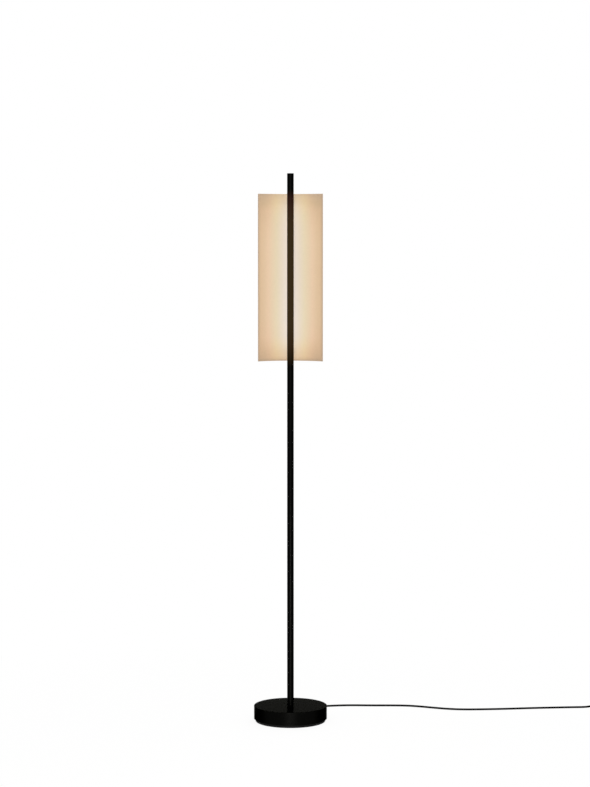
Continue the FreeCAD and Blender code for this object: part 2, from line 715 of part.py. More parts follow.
def bottom_plate():
    disc = turned("plate_disc", [(0, "foot_height"), (WEIGHT_R, "foot_height"),
                                 (WEIGHT_R, PLATE_TOP), (0, PLATE_TOP)])
    seats = []
    for degrees in QUARTERS:
        seats.append(sunk_screw(f"plate_seat_{degrees}", SCREW_PLATE, "plate_screw_length",
                                on_circle(PLATE_SCREW_RADIUS, degrees, "foot_height"), DOWNWARD,
                                grow="seat_gap"))
    return cut("plate", disc, seats)


def foot_ring():
    """A rubber ring, set in from the cover, that the lamp stands on."""
    outside = "(foot_dia / 2)"
    inside = "(foot_dia / 2 - foot_width)"
    ring = turned("foot", [(inside, 0), (outside, 0), (outside, "foot_height"), (inside, "foot_height")])
    return soften(ring, "foot_soften", ring_at(outside, 0))


def hub():
    """A flanged sleeve with a floor: it holds the bushes and hangs the spindle's nut."""
    sleeve = turned("hub_sleeve", [
        (STUD_HOLE, HUB_LOW), (HUB_R, HUB_LOW), (HUB_R, WEIGHT_TOP), (FLANGE_R, WEIGHT_TOP),
        (FLANGE_R, FLANGE_TOP), (HUB_R, FLANGE_TOP), (HUB_R, COVER_UNDER), (HUB_BORE, COVER_UNDER),
        (HUB_BORE, HUB_FLOOR), (STUD_HOLE, HUB_FLOOR)])
    holes = [rod("stop_pin_hole", "pin_dia / 2", f"flange_wall + 2 * {OVER}",
                 (0, "pin_radius", f"{HUB_LOW} - {OVER}"))]
    for degrees in THIRDS:
        holes.append(sunk_screw(f"hub_seat_{degrees}", SCREW_M4, "hub_screw_length",
                                on_circle(HUB_SCREW_RADIUS, degrees, FLANGE_TOP), grow="seat_gap"))
    return cut("swivel_hub_body", sleeve, holes)


def bush(name, low, high):
    return turned(name, [(f"{POST_R} + running_fit", low), (HUB_BORE, low),
                         (HUB_BORE, high), (f"{POST_R} + running_fit", high)])


def swivel_parts():
    bush_length = f"(({COVER_UNDER} - {TUBE_END} - bush_space) / 2)"
    node("lower_bush", bush("bush_low", TUBE_END, f"{TUBE_END} + {bush_length}"))
    node("upper_bush", bush("bush_high", f"{COVER_UNDER} - {bush_length}", COVER_UNDER))
    washer_edge = f"{HUB_BORE} - loose_gap"
    node("thrust_washer", turned("slide_washer", [(WASHER_HOLE, HUB_FLOOR), (washer_edge, HUB_FLOOR),
                                                  (washer_edge, TUBE_END), (WASHER_HOLE, TUBE_END)]))
    node("stop_pin", rod("stop_pin_rod", "pin_dia / 2", "flange_wall + pin_drop",
                         (0, "pin_radius", f"{HUB_LOW} - pin_drop")))


def driver():
    """The power unit: a closed box with a fixing lug at each end."""
    sides = (f"-({DRIVER_NEAR} + driver_width)", f"-{DRIVER_NEAR}")
    half = "(driver_length / 2)"
    case = block("driver_case", sides, (f"-{half}", half), (DRIVER_SEAT, f"{DRIVER_SEAT} + driver_height"))
    reach = f"({half} + lug_length)"
    lugs = block("driver_lugs", sides, (f"-{reach}", reach), (DRIVER_SEAT, f"{DRIVER_SEAT} + lug_wall"))
    holes = []
    screws = []
    for side in (-1, 1):
        spot = lug_place(side, f"{DRIVER_SEAT} + lug_wall")
        holes.append(screw_hole(f"driver_hole_{side}", SCREW_M3, f"lug_wall + {OVER}", spot))
        screws.append(pan_screw(f"driver_screw_{side}", SCREW_M3, "lug_wall + small_bite", spot))
    node("led_driver", cut("driver", joined("driver_body", [case, lugs]), holes))
    node("driver_screws", group("driver_screw_set", screws))


def mains_parts():
    """What the cord meets inside the base: gland and nut, clamp and terminal block."""
    bore = "cord_dia / 2 + seat_gap"
    neck = "gland_neck / 2"
    wall = COVER_R
    flange = "gland_flange / 2"
    nut_face = f"{COVER_INNER} - curve_gap"
    tail_end = f"{nut_face} - gland_tail"
    node("cord_gland", turned("gland", [
        (bore, tail_end), (neck, tail_end), (neck, wall), (flange, wall), (flange, f"{wall} + rim_wall"),
        (f"{flange} - gland_slope", f"{wall} + rim_wall"), ("cord_dia / 2 + gland_lip", GLAND_TIP),
        (bore, GLAND_TIP)], (0, 0, "cord_rise"), BACKWARD))
    nut_back = f"{nut_face} - gland_nut_wall"
    node("gland_nut", turned("gland_ring_nut", [
        (f"{neck} + seat_gap", nut_back), ("gland_nut_dia / 2", nut_back),
        ("gland_nut_dia / 2", nut_face), (f"{neck} + seat_gap", nut_face)],
        (0, 0, "cord_rise"), BACKWARD))
    node("mains_tail", rod("tail", "cord_dia / 2", f"{GLAND_TIP} - {TERMINAL_FAR}",
                           (0, TERMINAL_FAR, "cord_rise"), BACKWARD))
    half = "terminal_width / 2"
    node("terminal_block", block("terminals", (f"-{half}", half), ("terminal_near", TERMINAL_FAR),
                                 (RECESS_FLOOR, f"{RECESS_FLOOR} + terminal_height")))
    half = "clamp_width / 2"
    saddle = block("clamp_bar", (f"-{half}", half), ("clamp_near", "clamp_near + clamp_length"),
                   (RECESS_FLOOR, f"{RECESS_FLOOR} + clamp_height"))
    cuts = [rod("clamp_cord_hole", bore, f"clamp_length + 2 * {OVER}",
                (0, f"clamp_near - {OVER}", "cord_rise"), BACKWARD)]
    screws = []
    for side in (-1, 1):
        spot = clamp_screw_place(side, f"{RECESS_FLOOR} + clamp_height")
        cuts.append(screw_hole(f"clamp_hole_{side}", SCREW_M3, f"clamp_height + {OVER}", spot))
        screws.append(pan_screw(f"clamp_screw_{side}", SCREW_M3, "clamp_height + small_bite", spot))
    node("cord_clamp", cut("clamp", saddle, cuts))
    node("clamp_screws", group("clamp_screw_set", screws))


def base_wires():
    half = "terminal_width / 2"
    row = f"((terminal_near + {TERMINAL_FAR}) / 2)"
    node("driver_lead", held_wire("lead", [
        (f"-{half}", row, "cord_rise"), (f"-{DRIVER_MIDDLE}", row, "cord_rise"),
        (f"-{DRIVER_MIDDLE}", "driver_length / 2", "cord_rise")], "lead_dia"))
    low = f"{PLATE_TOP} + wire_dia / 2 + wire_play"
    half_way = f"-({FLANGE_R} + driver_space / 2)"
    near_hub = f"-({FLANGE_R} + recess_room)"
    node("base_wire", held_wire("low_voltage_wire", [
        (f"-{DRIVER_NEAR}", 0, "cord_rise"), (half_way, 0, "cord_rise"), (near_hub, 0, low), (0, 0, low),
        (0, 0, f"{STUD_END} + wire_meet")], "wire_dia"))


def base_fasteners():
    hub_screws = []
    cover_screws = []
    for degrees in THIRDS:
        hub_screws.append(sunk_screw(f"hub_screw_{degrees}", SCREW_M4, "hub_screw_length",
                                     on_circle(HUB_SCREW_RADIUS, degrees, FLANGE_TOP)))
        cover_screws.append(pan_screw(f"cover_screw_{degrees}", SCREW_M5,
                                      "weight_height - counterbore_depth + cover_bite",
                                      on_circle(BOSS_RADIUS, degrees, f"{PLATE_TOP} + counterbore_depth"),
                                      DOWNWARD))
    plate_screws = []
    for degrees in QUARTERS:
        plate_screws.append(sunk_screw(f"plate_screw_{degrees}", SCREW_PLATE, "plate_screw_length",
                                       on_circle(PLATE_SCREW_RADIUS, degrees, "foot_height"), DOWNWARD))
    node("hub_screws", group("hub_screw_set", hub_screws))
    node("cover_screws", group("cover_screw_set", cover_screws))
    node("plate_screws", group("plate_screw_set", plate_screws))


# ---- post and light ---------------------------------------------------------------------

def bracket_heights():
    return (("lower", f"({SHADE_LOW} + bracket_inset)"), ("upper", f"({SHADE_TOP} - bracket_inset)"))


def rear_hole(name, middle):
    """A bracket screw's hole, along Y from the post's axis to behind the sheet."""
    return rod(name, f"{SCREW_M4[0] / 2} + screw_play", f"{SHADE_BACK_Y} + {OVER}",
               (0, 0, middle), BACKWARD)


def post_tube():
    blank = turned("tube_blank", [(TUBE_BORE, TUBE_END), (POST_R, TUBE_END),
                                  (POST_R, TUBE_TOP), (TUBE_BORE, TUBE_TOP)])
    half = "(slot_width / 2)"
    cuts = [block("light_slot", (f"-{half}", half), (0, "post_dia"), (SLOT_LOW, SLOT_TOP))]
    for which, middle in bracket_heights():
        cuts.append(rear_hole(f"tube_hole_{which}", middle))
    return cut("tube", blank, cuts)


def post_cap():
    plug = f"{TUBE_BORE} - seat_gap"
    cap = turned("cap", [(0, f"{TUBE_TOP} - plug_depth"), (plug, f"{TUBE_TOP} - plug_depth"),
                         (plug, TUBE_TOP), (POST_R, TUBE_TOP), (POST_R, "lamp_height"), (0, "lamp_height")])
    return soften(cap, "cap_soften", ring_at(POST_R, "lamp_height"))


def spindle():
    """The plug in the foot of the tube, with a hollow stud that goes down through the hub."""
    grip = f"{TUBE_BORE} - seat_gap"
    top = f"{TUBE_END} + spindle_grip"
    return turned("spindle", [
        ("stud_bore / 2", STUD_END), ("stud_dia / 2", STUD_END), ("stud_dia / 2", TUBE_END),
        (grip, TUBE_END), (grip, top), ("stud_bore / 2", top)])


def spindle_parts():
    ring = "washer_dia / 2"
    node("spring_washer", turned("friction_washer", [(WASHER_HOLE, STOP_TOP), (ring, STOP_TOP),
                                                     (ring, HUB_LOW), (WASHER_HOLE, HUB_LOW)]))
    keyed = "stud_dia / 2 + seat_gap"
    stop_ring = turned("stop_ring", [(keyed, NUT_TOP), (ring, NUT_TOP), (ring, STOP_TOP), (keyed, STOP_TOP)])
    tab = block("stop_tab", ("-tab_width / 2", "tab_width / 2"), ("-tab_reach", f"-{ring} + {OVER}"),
                (NUT_TOP, STOP_TOP))
    node("stop_washer", joined("stop_ring_and_tab", [stop_ring, tab]))
    hexagon = doc.addObject("Part::Prism", "nut_hexagon")
    hexagon.Polygon = 6
    bind(hexagon, "Circumradius", "nut_flats / 2 / cos(30)")
    bind(hexagon, "Height", "nut_height")
    put(hexagon, (0, 0, NUT_LOW))
    bore = rod("nut_thread", keyed, f"nut_height + 2 * {OVER}", (0, 0, f"{NUT_LOW} - {OVER}"))
    node("spindle_nut", cut("nut", hexagon, [bore]))


def reflector():
    """One tall sheet rolled to a shallow arc, hollow side to the viewer."""
    half_angle = f"asin(shade_chord / 2 / {SHADE_R})"
    sheet = rod("sheet_arc", SHADE_R, "shade_height", (0, SHADE_AXIS_Y, SHADE_LOW),
                ABOUT_Z)
    bind(sheet, "Angle", f"2 * {half_angle}")
    bind(sheet, "Placement.Rotation.Angle", f"90 deg - {half_angle}")
    hollow = rod("sheet_hollow", f"{SHADE_R} - shade_wall", f"shade_height + 2 * {OVER}",
                 (0, SHADE_AXIS_Y, f"{SHADE_LOW} - {OVER}"))
    holes = [rear_hole(f"sheet_hole_{which}", middle) for which, middle in bracket_heights()]
    return cut("sheet", sheet, [hollow] + holes)


def bracket(which, middle):
    """A spacer block, hollowed to sit on the post and rounded to back the sheet."""
    half = "(bracket_width / 2)"
    tall = "(bracket_height / 2)"
    blank = block(f"{which}_bracket_blank", (f"-{half}", half), (0, SHADE_BACK_Y),
                  (f"{middle} - {tall}", f"{middle} + {tall}"))
    inside = rod(f"{which}_bracket_rounding", f"{SHADE_R} - shade_wall", "bracket_height",
                 (0, SHADE_AXIS_Y, f"{middle} - {tall}"))
    saddle = rod(f"{which}_bracket_saddle", POST_R, f"bracket_height + 2 * {OVER}",
                 (0, 0, f"{middle} - {tall} - {OVER}"))
    hole = rear_hole(f"{which}_bracket_hole", middle)
    return cut(f"{which}_spacer", common(f"{which}_bracket_fit", blank, inside), [saddle, hole])


def bracket_fasteners():
    """Long socket screws through washer, sheet, bracket and tube into the heat bar."""
    screws = []
    washers = []
    seat_y = f"{SHADE_BACK_Y} + washer_wall"
    hole = f"{SCREW_M4[0] / 2} + screw_play"
    for which, middle in bracket_heights():
        screw = pan_screw(f"{which}_screw_blank", SCREW_M4, f"{seat_y} - bar_flat + bar_bite",
                          (0, seat_y, middle), BACKWARD)
        socket = doc.addObject("Part::Prism", f"{which}_screw_socket")
        socket.Polygon = 6
        bind(socket, "Circumradius", "socket_flats_radius")
        bind(socket, "Height", f"socket_depth + {OVER}")
        put(socket, (0, f"{seat_y} + {SCREW_M4[2]} - socket_depth", middle), BACKWARD)
        screws.append(cut(f"{which}_long_screw", screw, [socket]))
        washers.append(turned(f"{which}_screw_washer", [
            (hole, 0), ("bracket_washer_dia / 2", 0), ("bracket_washer_dia / 2", "washer_wall"),
            (hole, "washer_wall")], (0, SHADE_BACK_Y, middle), BACKWARD))
    node("bracket_screws", group("bracket_screw_set", screws))
    node("bracket_washers", group("bracket_washer_set", washers))


def light_parts():
    """The heat bar in the tube, its board and chips, and the lens that closes the slot."""
    bar_low = f"({SHADE_LOW} + bar_inset)"
    bar_length = f"({SHADE_TOP} - bar_inset - {bar_low})"
    round_bar = rod("bar_round", f"{TUBE_BORE} - bar_gap", bar_length, (0, 0, bar_low))
    rear = block("bar_rear", ("-post_dia", "post_dia"), ("bar_flat", "post_dia"),
                 (f"{bar_low} - {OVER}", f"{bar_low} + {bar_length} + {OVER}"))
    threads = [rod(f"bar_thread_{which}", f"{SCREW_M4[0] / 2} + seat_gap", f"bar_bite + 2 * {OVER}",
                   (0, f"bar_flat - bar_bite - {OVER}", middle), BACKWARD)
               for which, middle in bracket_heights()]
    node("heat_bar", cut("bar", round_bar, [rear] + threads))
    half = "(board_width / 2)"
    node("led_board", block("board", (f"-{half}", half), ("bar_flat", BOARD_BACK),
                            (BOARD_LOW, f"{BOARD_LOW} + {BOARD_LENGTH}")))
    chips = []
    half = "(chip_side / 2)"
    for index in range(int(value("chip_count"))):
        middle = f"({BOARD_LOW} + {BOARD_LENGTH} * {index + 0.5} / chip_count)"
        chips.append(block(f"chip_{index}", (f"-{half}", half), (BOARD_BACK, f"{BOARD_BACK} + chip_height"),
                           (f"{middle} - {half}", f"{middle} + {half}")))
    node("led_chips", group("chip_row", chips))
    tall = f"({SLOT_TOP} - {SLOT_LOW} - 2 * lens_gap)"
    lens_low = f"{SLOT_LOW} + lens_gap"
    lens_ring = turned("lens_ring", [(f"{POST_R} - lens_wall", lens_low), (POST_R, lens_low),
                                     (POST_R, f"{lens_low} + {tall}"),
                                     (f"{POST_R} - lens_wall", f"{lens_low} + {tall}")])
    half = "(slot_width / 2 - lens_gap)"
    window = block("lens_window", (f"-{half}", half), ("bar_flat", "post_dia"),
                   (SLOT_LOW, SLOT_TOP))
    node("lens", common("lens_strip", lens_ring, window))
    back = "bar_flat + wire_dia / 2 + wire_play"
    bend_top = f"({SHADE_LOW} - bracket_inset)"
    node("post_wire", held_wire("rising_wire", [
        (0, 0, f"{STUD_END} + wire_meet"), (0, 0, f"{bend_top} - wire_bend"),
        ("wire_aside", back, bend_top), ("wire_aside", back, BOARD_LOW)], "wire_dia"))


# ---- foot dimmer, coil and plug ---------------------------------------------------------

def dimmer_place(across, back, up):
    return (f"dimmer_middle + {across}", f"dimmer_back + {back}", up)


def dimmer_corners(name, height):
    """The four screw places of the dimmer, each with a name of its own."""
    return [(f"{name}_{side}_{flank}", dimmer_place(f"{side} * dimmer_screw_along",
                                                    f"{flank} * dimmer_screw_across", height))
            for side in (-1, 1) for flank in (-1, 1)]


def dimmer_hollow(name, low, height):
    return rounded_block(name, "(dimmer_length - 2 * dimmer_wall)", "(dimmer_width - 2 * dimmer_wall)",
                         height, "dimmer_corner - dimmer_wall", dimmer_place(0, 0, low))


def dimmer_case():
    """The lower tray, with ribs for the board and a hole for a sleeve at each end."""
    outside = rounded_block("tray_outside", "dimmer_length", "dimmer_width", "dimmer_seam",
                            "dimmer_corner", dimmer_place(0, 0, 0))
    inside = dimmer_hollow("tray_inside", "dimmer_wall", "dimmer_seam")
    end_holes = rod("tray_end_holes", f"{SLEEVE_NECK} + seat_gap", f"dimmer_length + 2 * {OVER}",
                    dimmer_place(f"-dimmer_length / 2 - {OVER}", 0, "dimmer_axis"), RIGHTWARD)
    pieces = [cut("tray_shell", outside, [inside, end_holes])]
    for side in (-1, 1):
        middle = f"dimmer_middle + {side} * rib_along"
        pieces.append(block(f"board_rib_{side}", (f"{middle} - rib_wall / 2", f"{middle} + rib_wall / 2"),
                            ("dimmer_back - circuit_width / 2", "dimmer_back + circuit_width / 2"),
                            ("dimmer_wall / 2", "board_rise")))
    sunk = "dimmer_wall * 0.4"
    holes = []
    for name, spot in dimmer_corners("tray_hole", -OVER):
        holes.append(screw_hole(name, SCREW_M3, f"dimmer_wall + 2 * {OVER}", spot, DOWNWARD))
        holes.append(rod(name + "_sink", f"{SCREW_FLAT[1] / 2} + loose_gap", f"{sunk} + {OVER}", spot))
    return cut("tray", joined("tray_and_ribs", pieces), holes)


def dimmer_cover():
    """The upper shell, with the button's hole and four screw posts."""
    outside = rounded_block("hood_outside", "dimmer_length", "dimmer_width", "(dimmer_height - dimmer_seam)",
                            "dimmer_corner", dimmer_place(0, 0, "dimmer_seam"))
    soften(outside, "dimmer_edge", level_at("dimmer_height - dimmer_seam"))
    inside = dimmer_hollow("hood_inside", f"dimmer_seam - {OVER}", f"({HOOD_UNDER} - dimmer_seam + {OVER})")
    button_hole = rod("hood_button_hole", "button_dia / 2 + loose_gap", "dimmer_height",
                      dimmer_place(0, 0, "dimmer_seam"))
    pieces = [cut("hood_shell", outside, [inside, button_hole])]
    holes = []
    for name, spot in dimmer_corners("hood_post", "dimmer_wall"):
        pieces.append(rod(name, "screw_post_dia / 2", f"{HOOD_UNDER} - dimmer_wall + dimmer_wall / 2", spot))
        holes.append(screw_hole(name + "_thread", SCREW_M3, f"dimmer_screw_length + {OVER}", spot, DOWNWARD))
    return cut("hood", joined("hood_and_posts", pieces), holes)


def dimmer_button():
    """A round foot button: a cap above, a rim under the cover and a stem to the switch."""
    cap = "(button_dia / 2)"
    rim = f"({cap} + button_rim)"
    stem_end = f"{RIM_LOW} - stem_length"
    top = "(dimmer_height + button_proud)"
    button = turned("button", [
        (0, stem_end), ("stem_dia / 2", stem_end), ("stem_dia / 2", RIM_LOW), (rim, RIM_LOW),
        (rim, HOOD_UNDER), (cap, HOOD_UNDER), (cap, top), (0, top)], dimmer_place(0, 0, 0))
    return soften(button, "button_soften", ring_at(cap, top))


def dimmer_insides():
    node("dimmer_board", block("dimmer_plate",
                               ("dimmer_middle - circuit_length / 2", "dimmer_middle + circuit_length / 2"),
                               ("dimmer_back - circuit_width / 2", "dimmer_back + circuit_width / 2"),
                               ("board_rise", CIRCUIT_TOP)))
    pressed_end = f"{RIM_LOW} - stem_length - button_travel"
    node("dimmer_switch", rod("switch_body", "switch_dia / 2", f"{pressed_end} - stem_gap - {CIRCUIT_TOP}",
                              dimmer_place(0, 0, CIRCUIT_TOP)))
    outside = "spring_dia / 2"
    inside = "spring_dia / 2 - spring_wire"
    node("button_spring", turned("spring_sleeve", [
        (inside, CIRCUIT_TOP), (outside, CIRCUIT_TOP), (outside, RIM_LOW), (inside, RIM_LOW)],
        dimmer_place(0, 0, 0)))


def dimmer_fasteners():
    """Four flat screws from below, and a moulded sleeve where the cord goes in and out."""
    screws = [pan_screw(name, SCREW_FLAT, "dimmer_screw_length", spot, DOWNWARD)
              for name, spot in dimmer_corners("dimmer_screw", "dimmer_wall * 0.4")]
    node("dimmer_screws", group("dimmer_screw_set", screws))
    head = "cord_dia / 2 + sleeve_head"
    collar = "cord_dia / 2 + sleeve_collar"
    inner_end = "-dimmer_wall - sleeve_collar_length"
    sleeves = []
    for end, turn in ((-1, LEFTWARD), (1, RIGHTWARD)):
        sleeves.append(turned(f"cord_sleeve_{end}", [
            (0, inner_end), (head, inner_end), (head, "-dimmer_wall"), (SLEEVE_NECK, "-dimmer_wall"),
            (SLEEVE_NECK, 0), (collar, 0), (collar, "sleeve_collar_length"), (SLEEVE_NECK, "dimmer_nose"),
            (0, "dimmer_nose")], dimmer_place(f"{end} * dimmer_length / 2", 0, "dimmer_axis"), turn))
    node("dimmer_sleeves", group("dimmer_sleeve_set", sleeves))


def plug():
    """A flat moulded plug with two round pins, lying on the floor beside the coil."""
    body = rounded_block("plug_block", "plug_length", "plug_width", "plug_height", "plug_corner",
                         ("plug_tip - plug_length / 2", "plug_back", 0))
    soften(body, "plug_edge", level_at("plug_height"))
    collar = "plug_collar / 2"
    nose = turned("plug_sleeve", [(0, f"-2 * {OVER}"), (collar, f"-2 * {OVER}"), (collar, 0),
                                  ("cord_dia / 2 + plug_lip", "plug_nose"), (0, "plug_nose")],
                  ("plug_tip", "plug_back", "plug_height / 2"), RIGHTWARD)
    node("plug_body", joined("plug_and_sleeve", [body, nose]))
    prong_r = "prong_dia / 2"
    prongs = []
    for side in (-1, 1):
        prongs.append(turned(f"prong_{side}", [
            (0, 0), (prong_r, 0), (prong_r, "prong_length - prong_taper"),
            (f"{prong_r} - prong_taper", "prong_length"), (0, "prong_length")],
            ("plug_tip - plug_length", f"plug_back + {side} * prong_pitch / 2", "plug_height / 2"),
            LEFTWARD))
    node("plug_pins", group("prong_pair", prongs))


# ---- the lamp ---------------------------------------------------------------------------

node("base_cover", base_cover())
node("base_weight", base_weight())
node("bottom_plate", bottom_plate())
node("foot_ring", foot_ring())
node("swivel_hub", hub())
swivel_parts()
driver()
mains_parts()
base_wires()
base_fasteners()
node("post_tube", post_tube())
node("post_cap", post_cap())
node("post_spindle", spindle())
spindle_parts()
node("reflector", reflector())
for position, level in bracket_heights():
    node(f"{position}_bracket", bracket(position, level))
bracket_fasteners()
light_parts()
node("dimmer_case", dimmer_case())
node("dimmer_cover", dimmer_cover())
node("dimmer_button", dimmer_button())
dimmer_insides()
dimmer_fasteners()
plug()
node("cord_lead", free_cord("lead_tube", LEAD_ROUTE))
node("cord_link", free_cord("link_tube", LINK_ROUTE))
node("cord_coil", coiled_cord("coil_tube"))
node("cord_end", free_cord("end_tube", TAIL_ROUTE))

doc.recompute()
for thing in doc.Objects:
    if "Invalid" in thing.State or "Error" in thing.State:
        raise RuntimeError(f"{thing.Label} could not be made: {thing.State}")
for piece in nodes:
    if piece.Shape.isNull() or not piece.Shape.isValid() or not piece.Shape.Solids:
        raise RuntimeError(f"{piece.Label} has no good solid")

os.makedirs("parts", exist_ok=True)
for piece in nodes:
    piece.Shape.exportStep(os.path.join("parts", piece.Label + ".step"))
print(f"{len(nodes)} nodes, {sum(len(piece.Shape.Solids) for piece in nodes)} solids")
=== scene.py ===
import json
import math

import bmesh
import bpy
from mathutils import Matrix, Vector


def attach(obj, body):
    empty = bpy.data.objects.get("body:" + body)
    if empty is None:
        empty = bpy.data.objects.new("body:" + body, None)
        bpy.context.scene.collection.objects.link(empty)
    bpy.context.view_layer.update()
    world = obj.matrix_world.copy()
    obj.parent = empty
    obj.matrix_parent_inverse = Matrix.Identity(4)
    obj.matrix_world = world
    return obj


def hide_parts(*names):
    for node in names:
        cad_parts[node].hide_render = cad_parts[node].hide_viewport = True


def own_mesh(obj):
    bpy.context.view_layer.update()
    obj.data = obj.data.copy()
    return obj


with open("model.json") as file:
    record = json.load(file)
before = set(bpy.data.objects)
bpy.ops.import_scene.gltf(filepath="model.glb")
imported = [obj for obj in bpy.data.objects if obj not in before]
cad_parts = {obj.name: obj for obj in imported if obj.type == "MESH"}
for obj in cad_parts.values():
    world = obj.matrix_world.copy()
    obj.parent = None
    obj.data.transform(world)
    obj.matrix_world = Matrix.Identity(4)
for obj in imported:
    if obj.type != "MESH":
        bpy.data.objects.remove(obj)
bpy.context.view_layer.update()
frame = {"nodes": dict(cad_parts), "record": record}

# A column floor lamp: round black base, thin black post, a tall curved beige sheet that
# throws back the post's light, and a black cord with a foot dimmer. Metres, +Z up, the
# viewer at -Y. A pattern is placed by Object coordinates, so it turns with the post.

NODES = frame["nodes"]

# ---- camera -----------------------------------------------------------------------------

VIEW_FROM = Vector((0.0, -6.656, 1.444))
VIEW_TURN = math.radians(0.118)
VIEW_DIP = math.radians(1.955)
VIEW_LENS = 101.5
VIEW_SHIFT = -0.0961


def set_camera():
    lens = bpy.data.cameras.new("viewpoint")
    lens.lens = VIEW_LENS
    lens.shift_y = VIEW_SHIFT
    lens.clip_start = 0.1
    lens.clip_end = 200
    camera = bpy.data.objects.new("viewpoint", lens)
    bpy.context.scene.collection.objects.link(camera)
    camera.location = VIEW_FROM
    camera.rotation_euler = (math.radians(90) - VIEW_DIP, 0, -VIEW_TURN)
    bpy.context.scene.camera = camera


set_camera()

# ---- finishes ---------------------------------------------------------------------------

# A noise seldom goes outside these levels.
NOISE_LOW, NOISE_HIGH = 0.3, 0.7


class Finish:
    """One finish: its shader, and short ways to wire a pattern into it."""

    def __init__(self, name):
        self.material = bpy.data.materials.new(name)
        self.material.use_nodes = True
        self.tree = self.material.node_tree
        self.shader = self.tree.nodes["Principled BSDF"]
        self.place = self.add("ShaderNodeTexCoord").outputs["Object"]

    def add(self, kind, **settings):
        node = self.tree.nodes.new(kind)
        for key, value in settings.items():
            setattr(node, key, value)
        return node

    def wire(self, source, target):
        self.tree.links.new(source, target)

    def set(self, **sockets):
        for key, value in sockets.items():
            self.shader.inputs[key.replace("_", " ")].default_value = value

    def noise(self, size, detail):
        """A noise whose blobs are about size metres across."""
        spots = self.add("ShaderNodeTexNoise")
        spots.inputs["Scale"].default_value = 1 / size
        spots.inputs["Detail"].default_value = detail
        self.wire(self.place, spots.inputs["Vector"])
        return spots.outputs["Fac"]

    def between(self, source, low, high, from_low=NOISE_LOW, from_high=NOISE_HIGH):
        """A value from low to high, as the source goes between its own two."""
        span = self.add("ShaderNodeMapRange")
        span.inputs["From Min"].default_value = from_low
        span.inputs["From Max"].default_value = from_high
        span.inputs["To Min"].default_value = low
        span.inputs["To Max"].default_value = high
        self.wire(source, span.inputs["Value"])
        return span.outputs["Result"]

    def blend(self, noise, first, second):
        """A colour between two, as the noise goes from low to high."""
        return self.steps(noise, [(NOISE_LOW, first), (NOISE_HIGH, second)])

    def steps(self, source, stops):
        """A colour that passes through each (position, colour) in turn."""
        ramp = self.add("ShaderNodeValToRGB")
        elements = ramp.color_ramp.elements
        elements[0].position, elements[0].color = stops[0][0], (*stops[0][1], 1)
        elements[1].position, elements[1].color = stops[-1][0], (*stops[-1][1], 1)
        for position, colour in stops[1:-1]:
            elements.new(position).color = (*colour, 1)
        self.wire(source, ramp.inputs["Fac"])
        return ramp.outputs["Color"]

    def raise_by(self, source, depth):
        """Bumps the surface by the source, depth metres high."""
        bump = self.add("ShaderNodeBump")
        bump.inputs["Strength"].default_value = 1.0
        bump.inputs["Distance"].default_value = depth
        self.wire(source, bump.inputs["Height"])
        return bump.outputs["Normal"]

    def share_along(self, axis, low, high):
        """0 at the low place along X or Z to 1 at the high one, in metres."""
        split = self.add("ShaderNodeSeparateXYZ")
        self.wire(self.place, split.inputs["Vector"])
        return self.between(split.outputs[axis], 0.0, 1.0, low, high)

    def share_aside(self, half):
        """0 in the piece's middle to 1 at either side, half metres away."""
        split = self.add("ShaderNodeSeparateXYZ")
        self.wire(self.place, split.inputs["Vector"])
        aside = self.add("ShaderNodeMath", operation="ABSOLUTE")
        self.wire(split.outputs["X"], aside.inputs[0])
        return self.between(aside.outputs["Value"], 0.0, 1.0, 0.0, half)

    def mix(self, way, first, second, share=None):
        """Two colours, mixed by a share, or wholly where there is none."""
        both = self.add("ShaderNodeMix", data_type="RGBA", blend_type=way)
        both.inputs["Factor"].default_value = 1.0
        if share is not None:
            self.wire(share, both.inputs["Factor"])
        self.wire(first, both.inputs["A"])
        self.wire(second, both.inputs["B"])
        return both.outputs["Result"]

    def glow(self, colour, strength=1.0):
        """Emission of this colour: a lamp's own light, or light thrown back, painted on the
        surface.
        """
        self.wire(colour, self.shader.inputs["Emission Color"])
        self.set(Emission_Strength=strength)


def even_finish(name, light, dark, rough, grain, depth, **sockets):
    """A finish with a soft mottle, uneven gloss and a fine grain."""
    finish = Finish(name)
    mottle = finish.noise(grain * 12, 3.0)
    finish.wire(finish.blend(mottle, dark, light), finish.shader.inputs["Base Color"])
    finish.wire(finish.between(finish.noise(grain * 5, 2.0), rough * 0.88, rough * 1.12),
                finish.shader.inputs["Roughness"])
    finish.wire(finish.raise_by(finish.noise(grain, 2.0), depth), finish.shader.inputs["Normal"])
    finish.set(**sockets)
    return finish


def grey(level):
    return (level, level, level)


def black_paint(name):
    """Satin black powder coat: it mirrors very little, at a glance as well as straight on."""
    return even_finish(name, (0.0030, 0.0030, 0.0027), (0.0024, 0.0024, 0.0022), 0.30, 0.0007,
                       0.00001, Metallic=1.0, Specular_Tint=(0.21, 0.21, 0.195, 1))


# The curved sheet, in metres: its lower and upper edge, and half its width.
SHEET_LOW = 1.086
SHEET_TOP = 1.589
SHEET_HALF = 0.0975
# The glow painted on the post reaches a little way past the sheet's own edges.
POST_LIT_LOW = 1.070
POST_LIT_TOP = 1.600


def post_paint():
    """The same paint, with the light that the sheet throws back on the post painted on as a warm
    glow.
    """
    finish = black_paint("post_black_paint_painted_glow")
    height = finish.share_along("Z", POST_LIT_LOW, POST_LIT_TOP)
    # A painted glow: warm emission along the post where it stands before the sheet.
    warm = finish.steps(height, [(0.0, (0, 0, 0)), (0.045, (0.012, 0.006, 0.001)),
                                 (0.12, (0.028, 0.013, 0.0045)), (0.24, (0.0345, 0.0200, 0.0070)),
                                 (0.80, (0.0345, 0.0200, 0.0070)), (0.90, (0.0300, 0.0125, 0.0060)),
                                 (0.955, (0.020, 0.006, 0.0035)), (1.0, (0, 0, 0))])
    finish.glow(warm)
    return finish


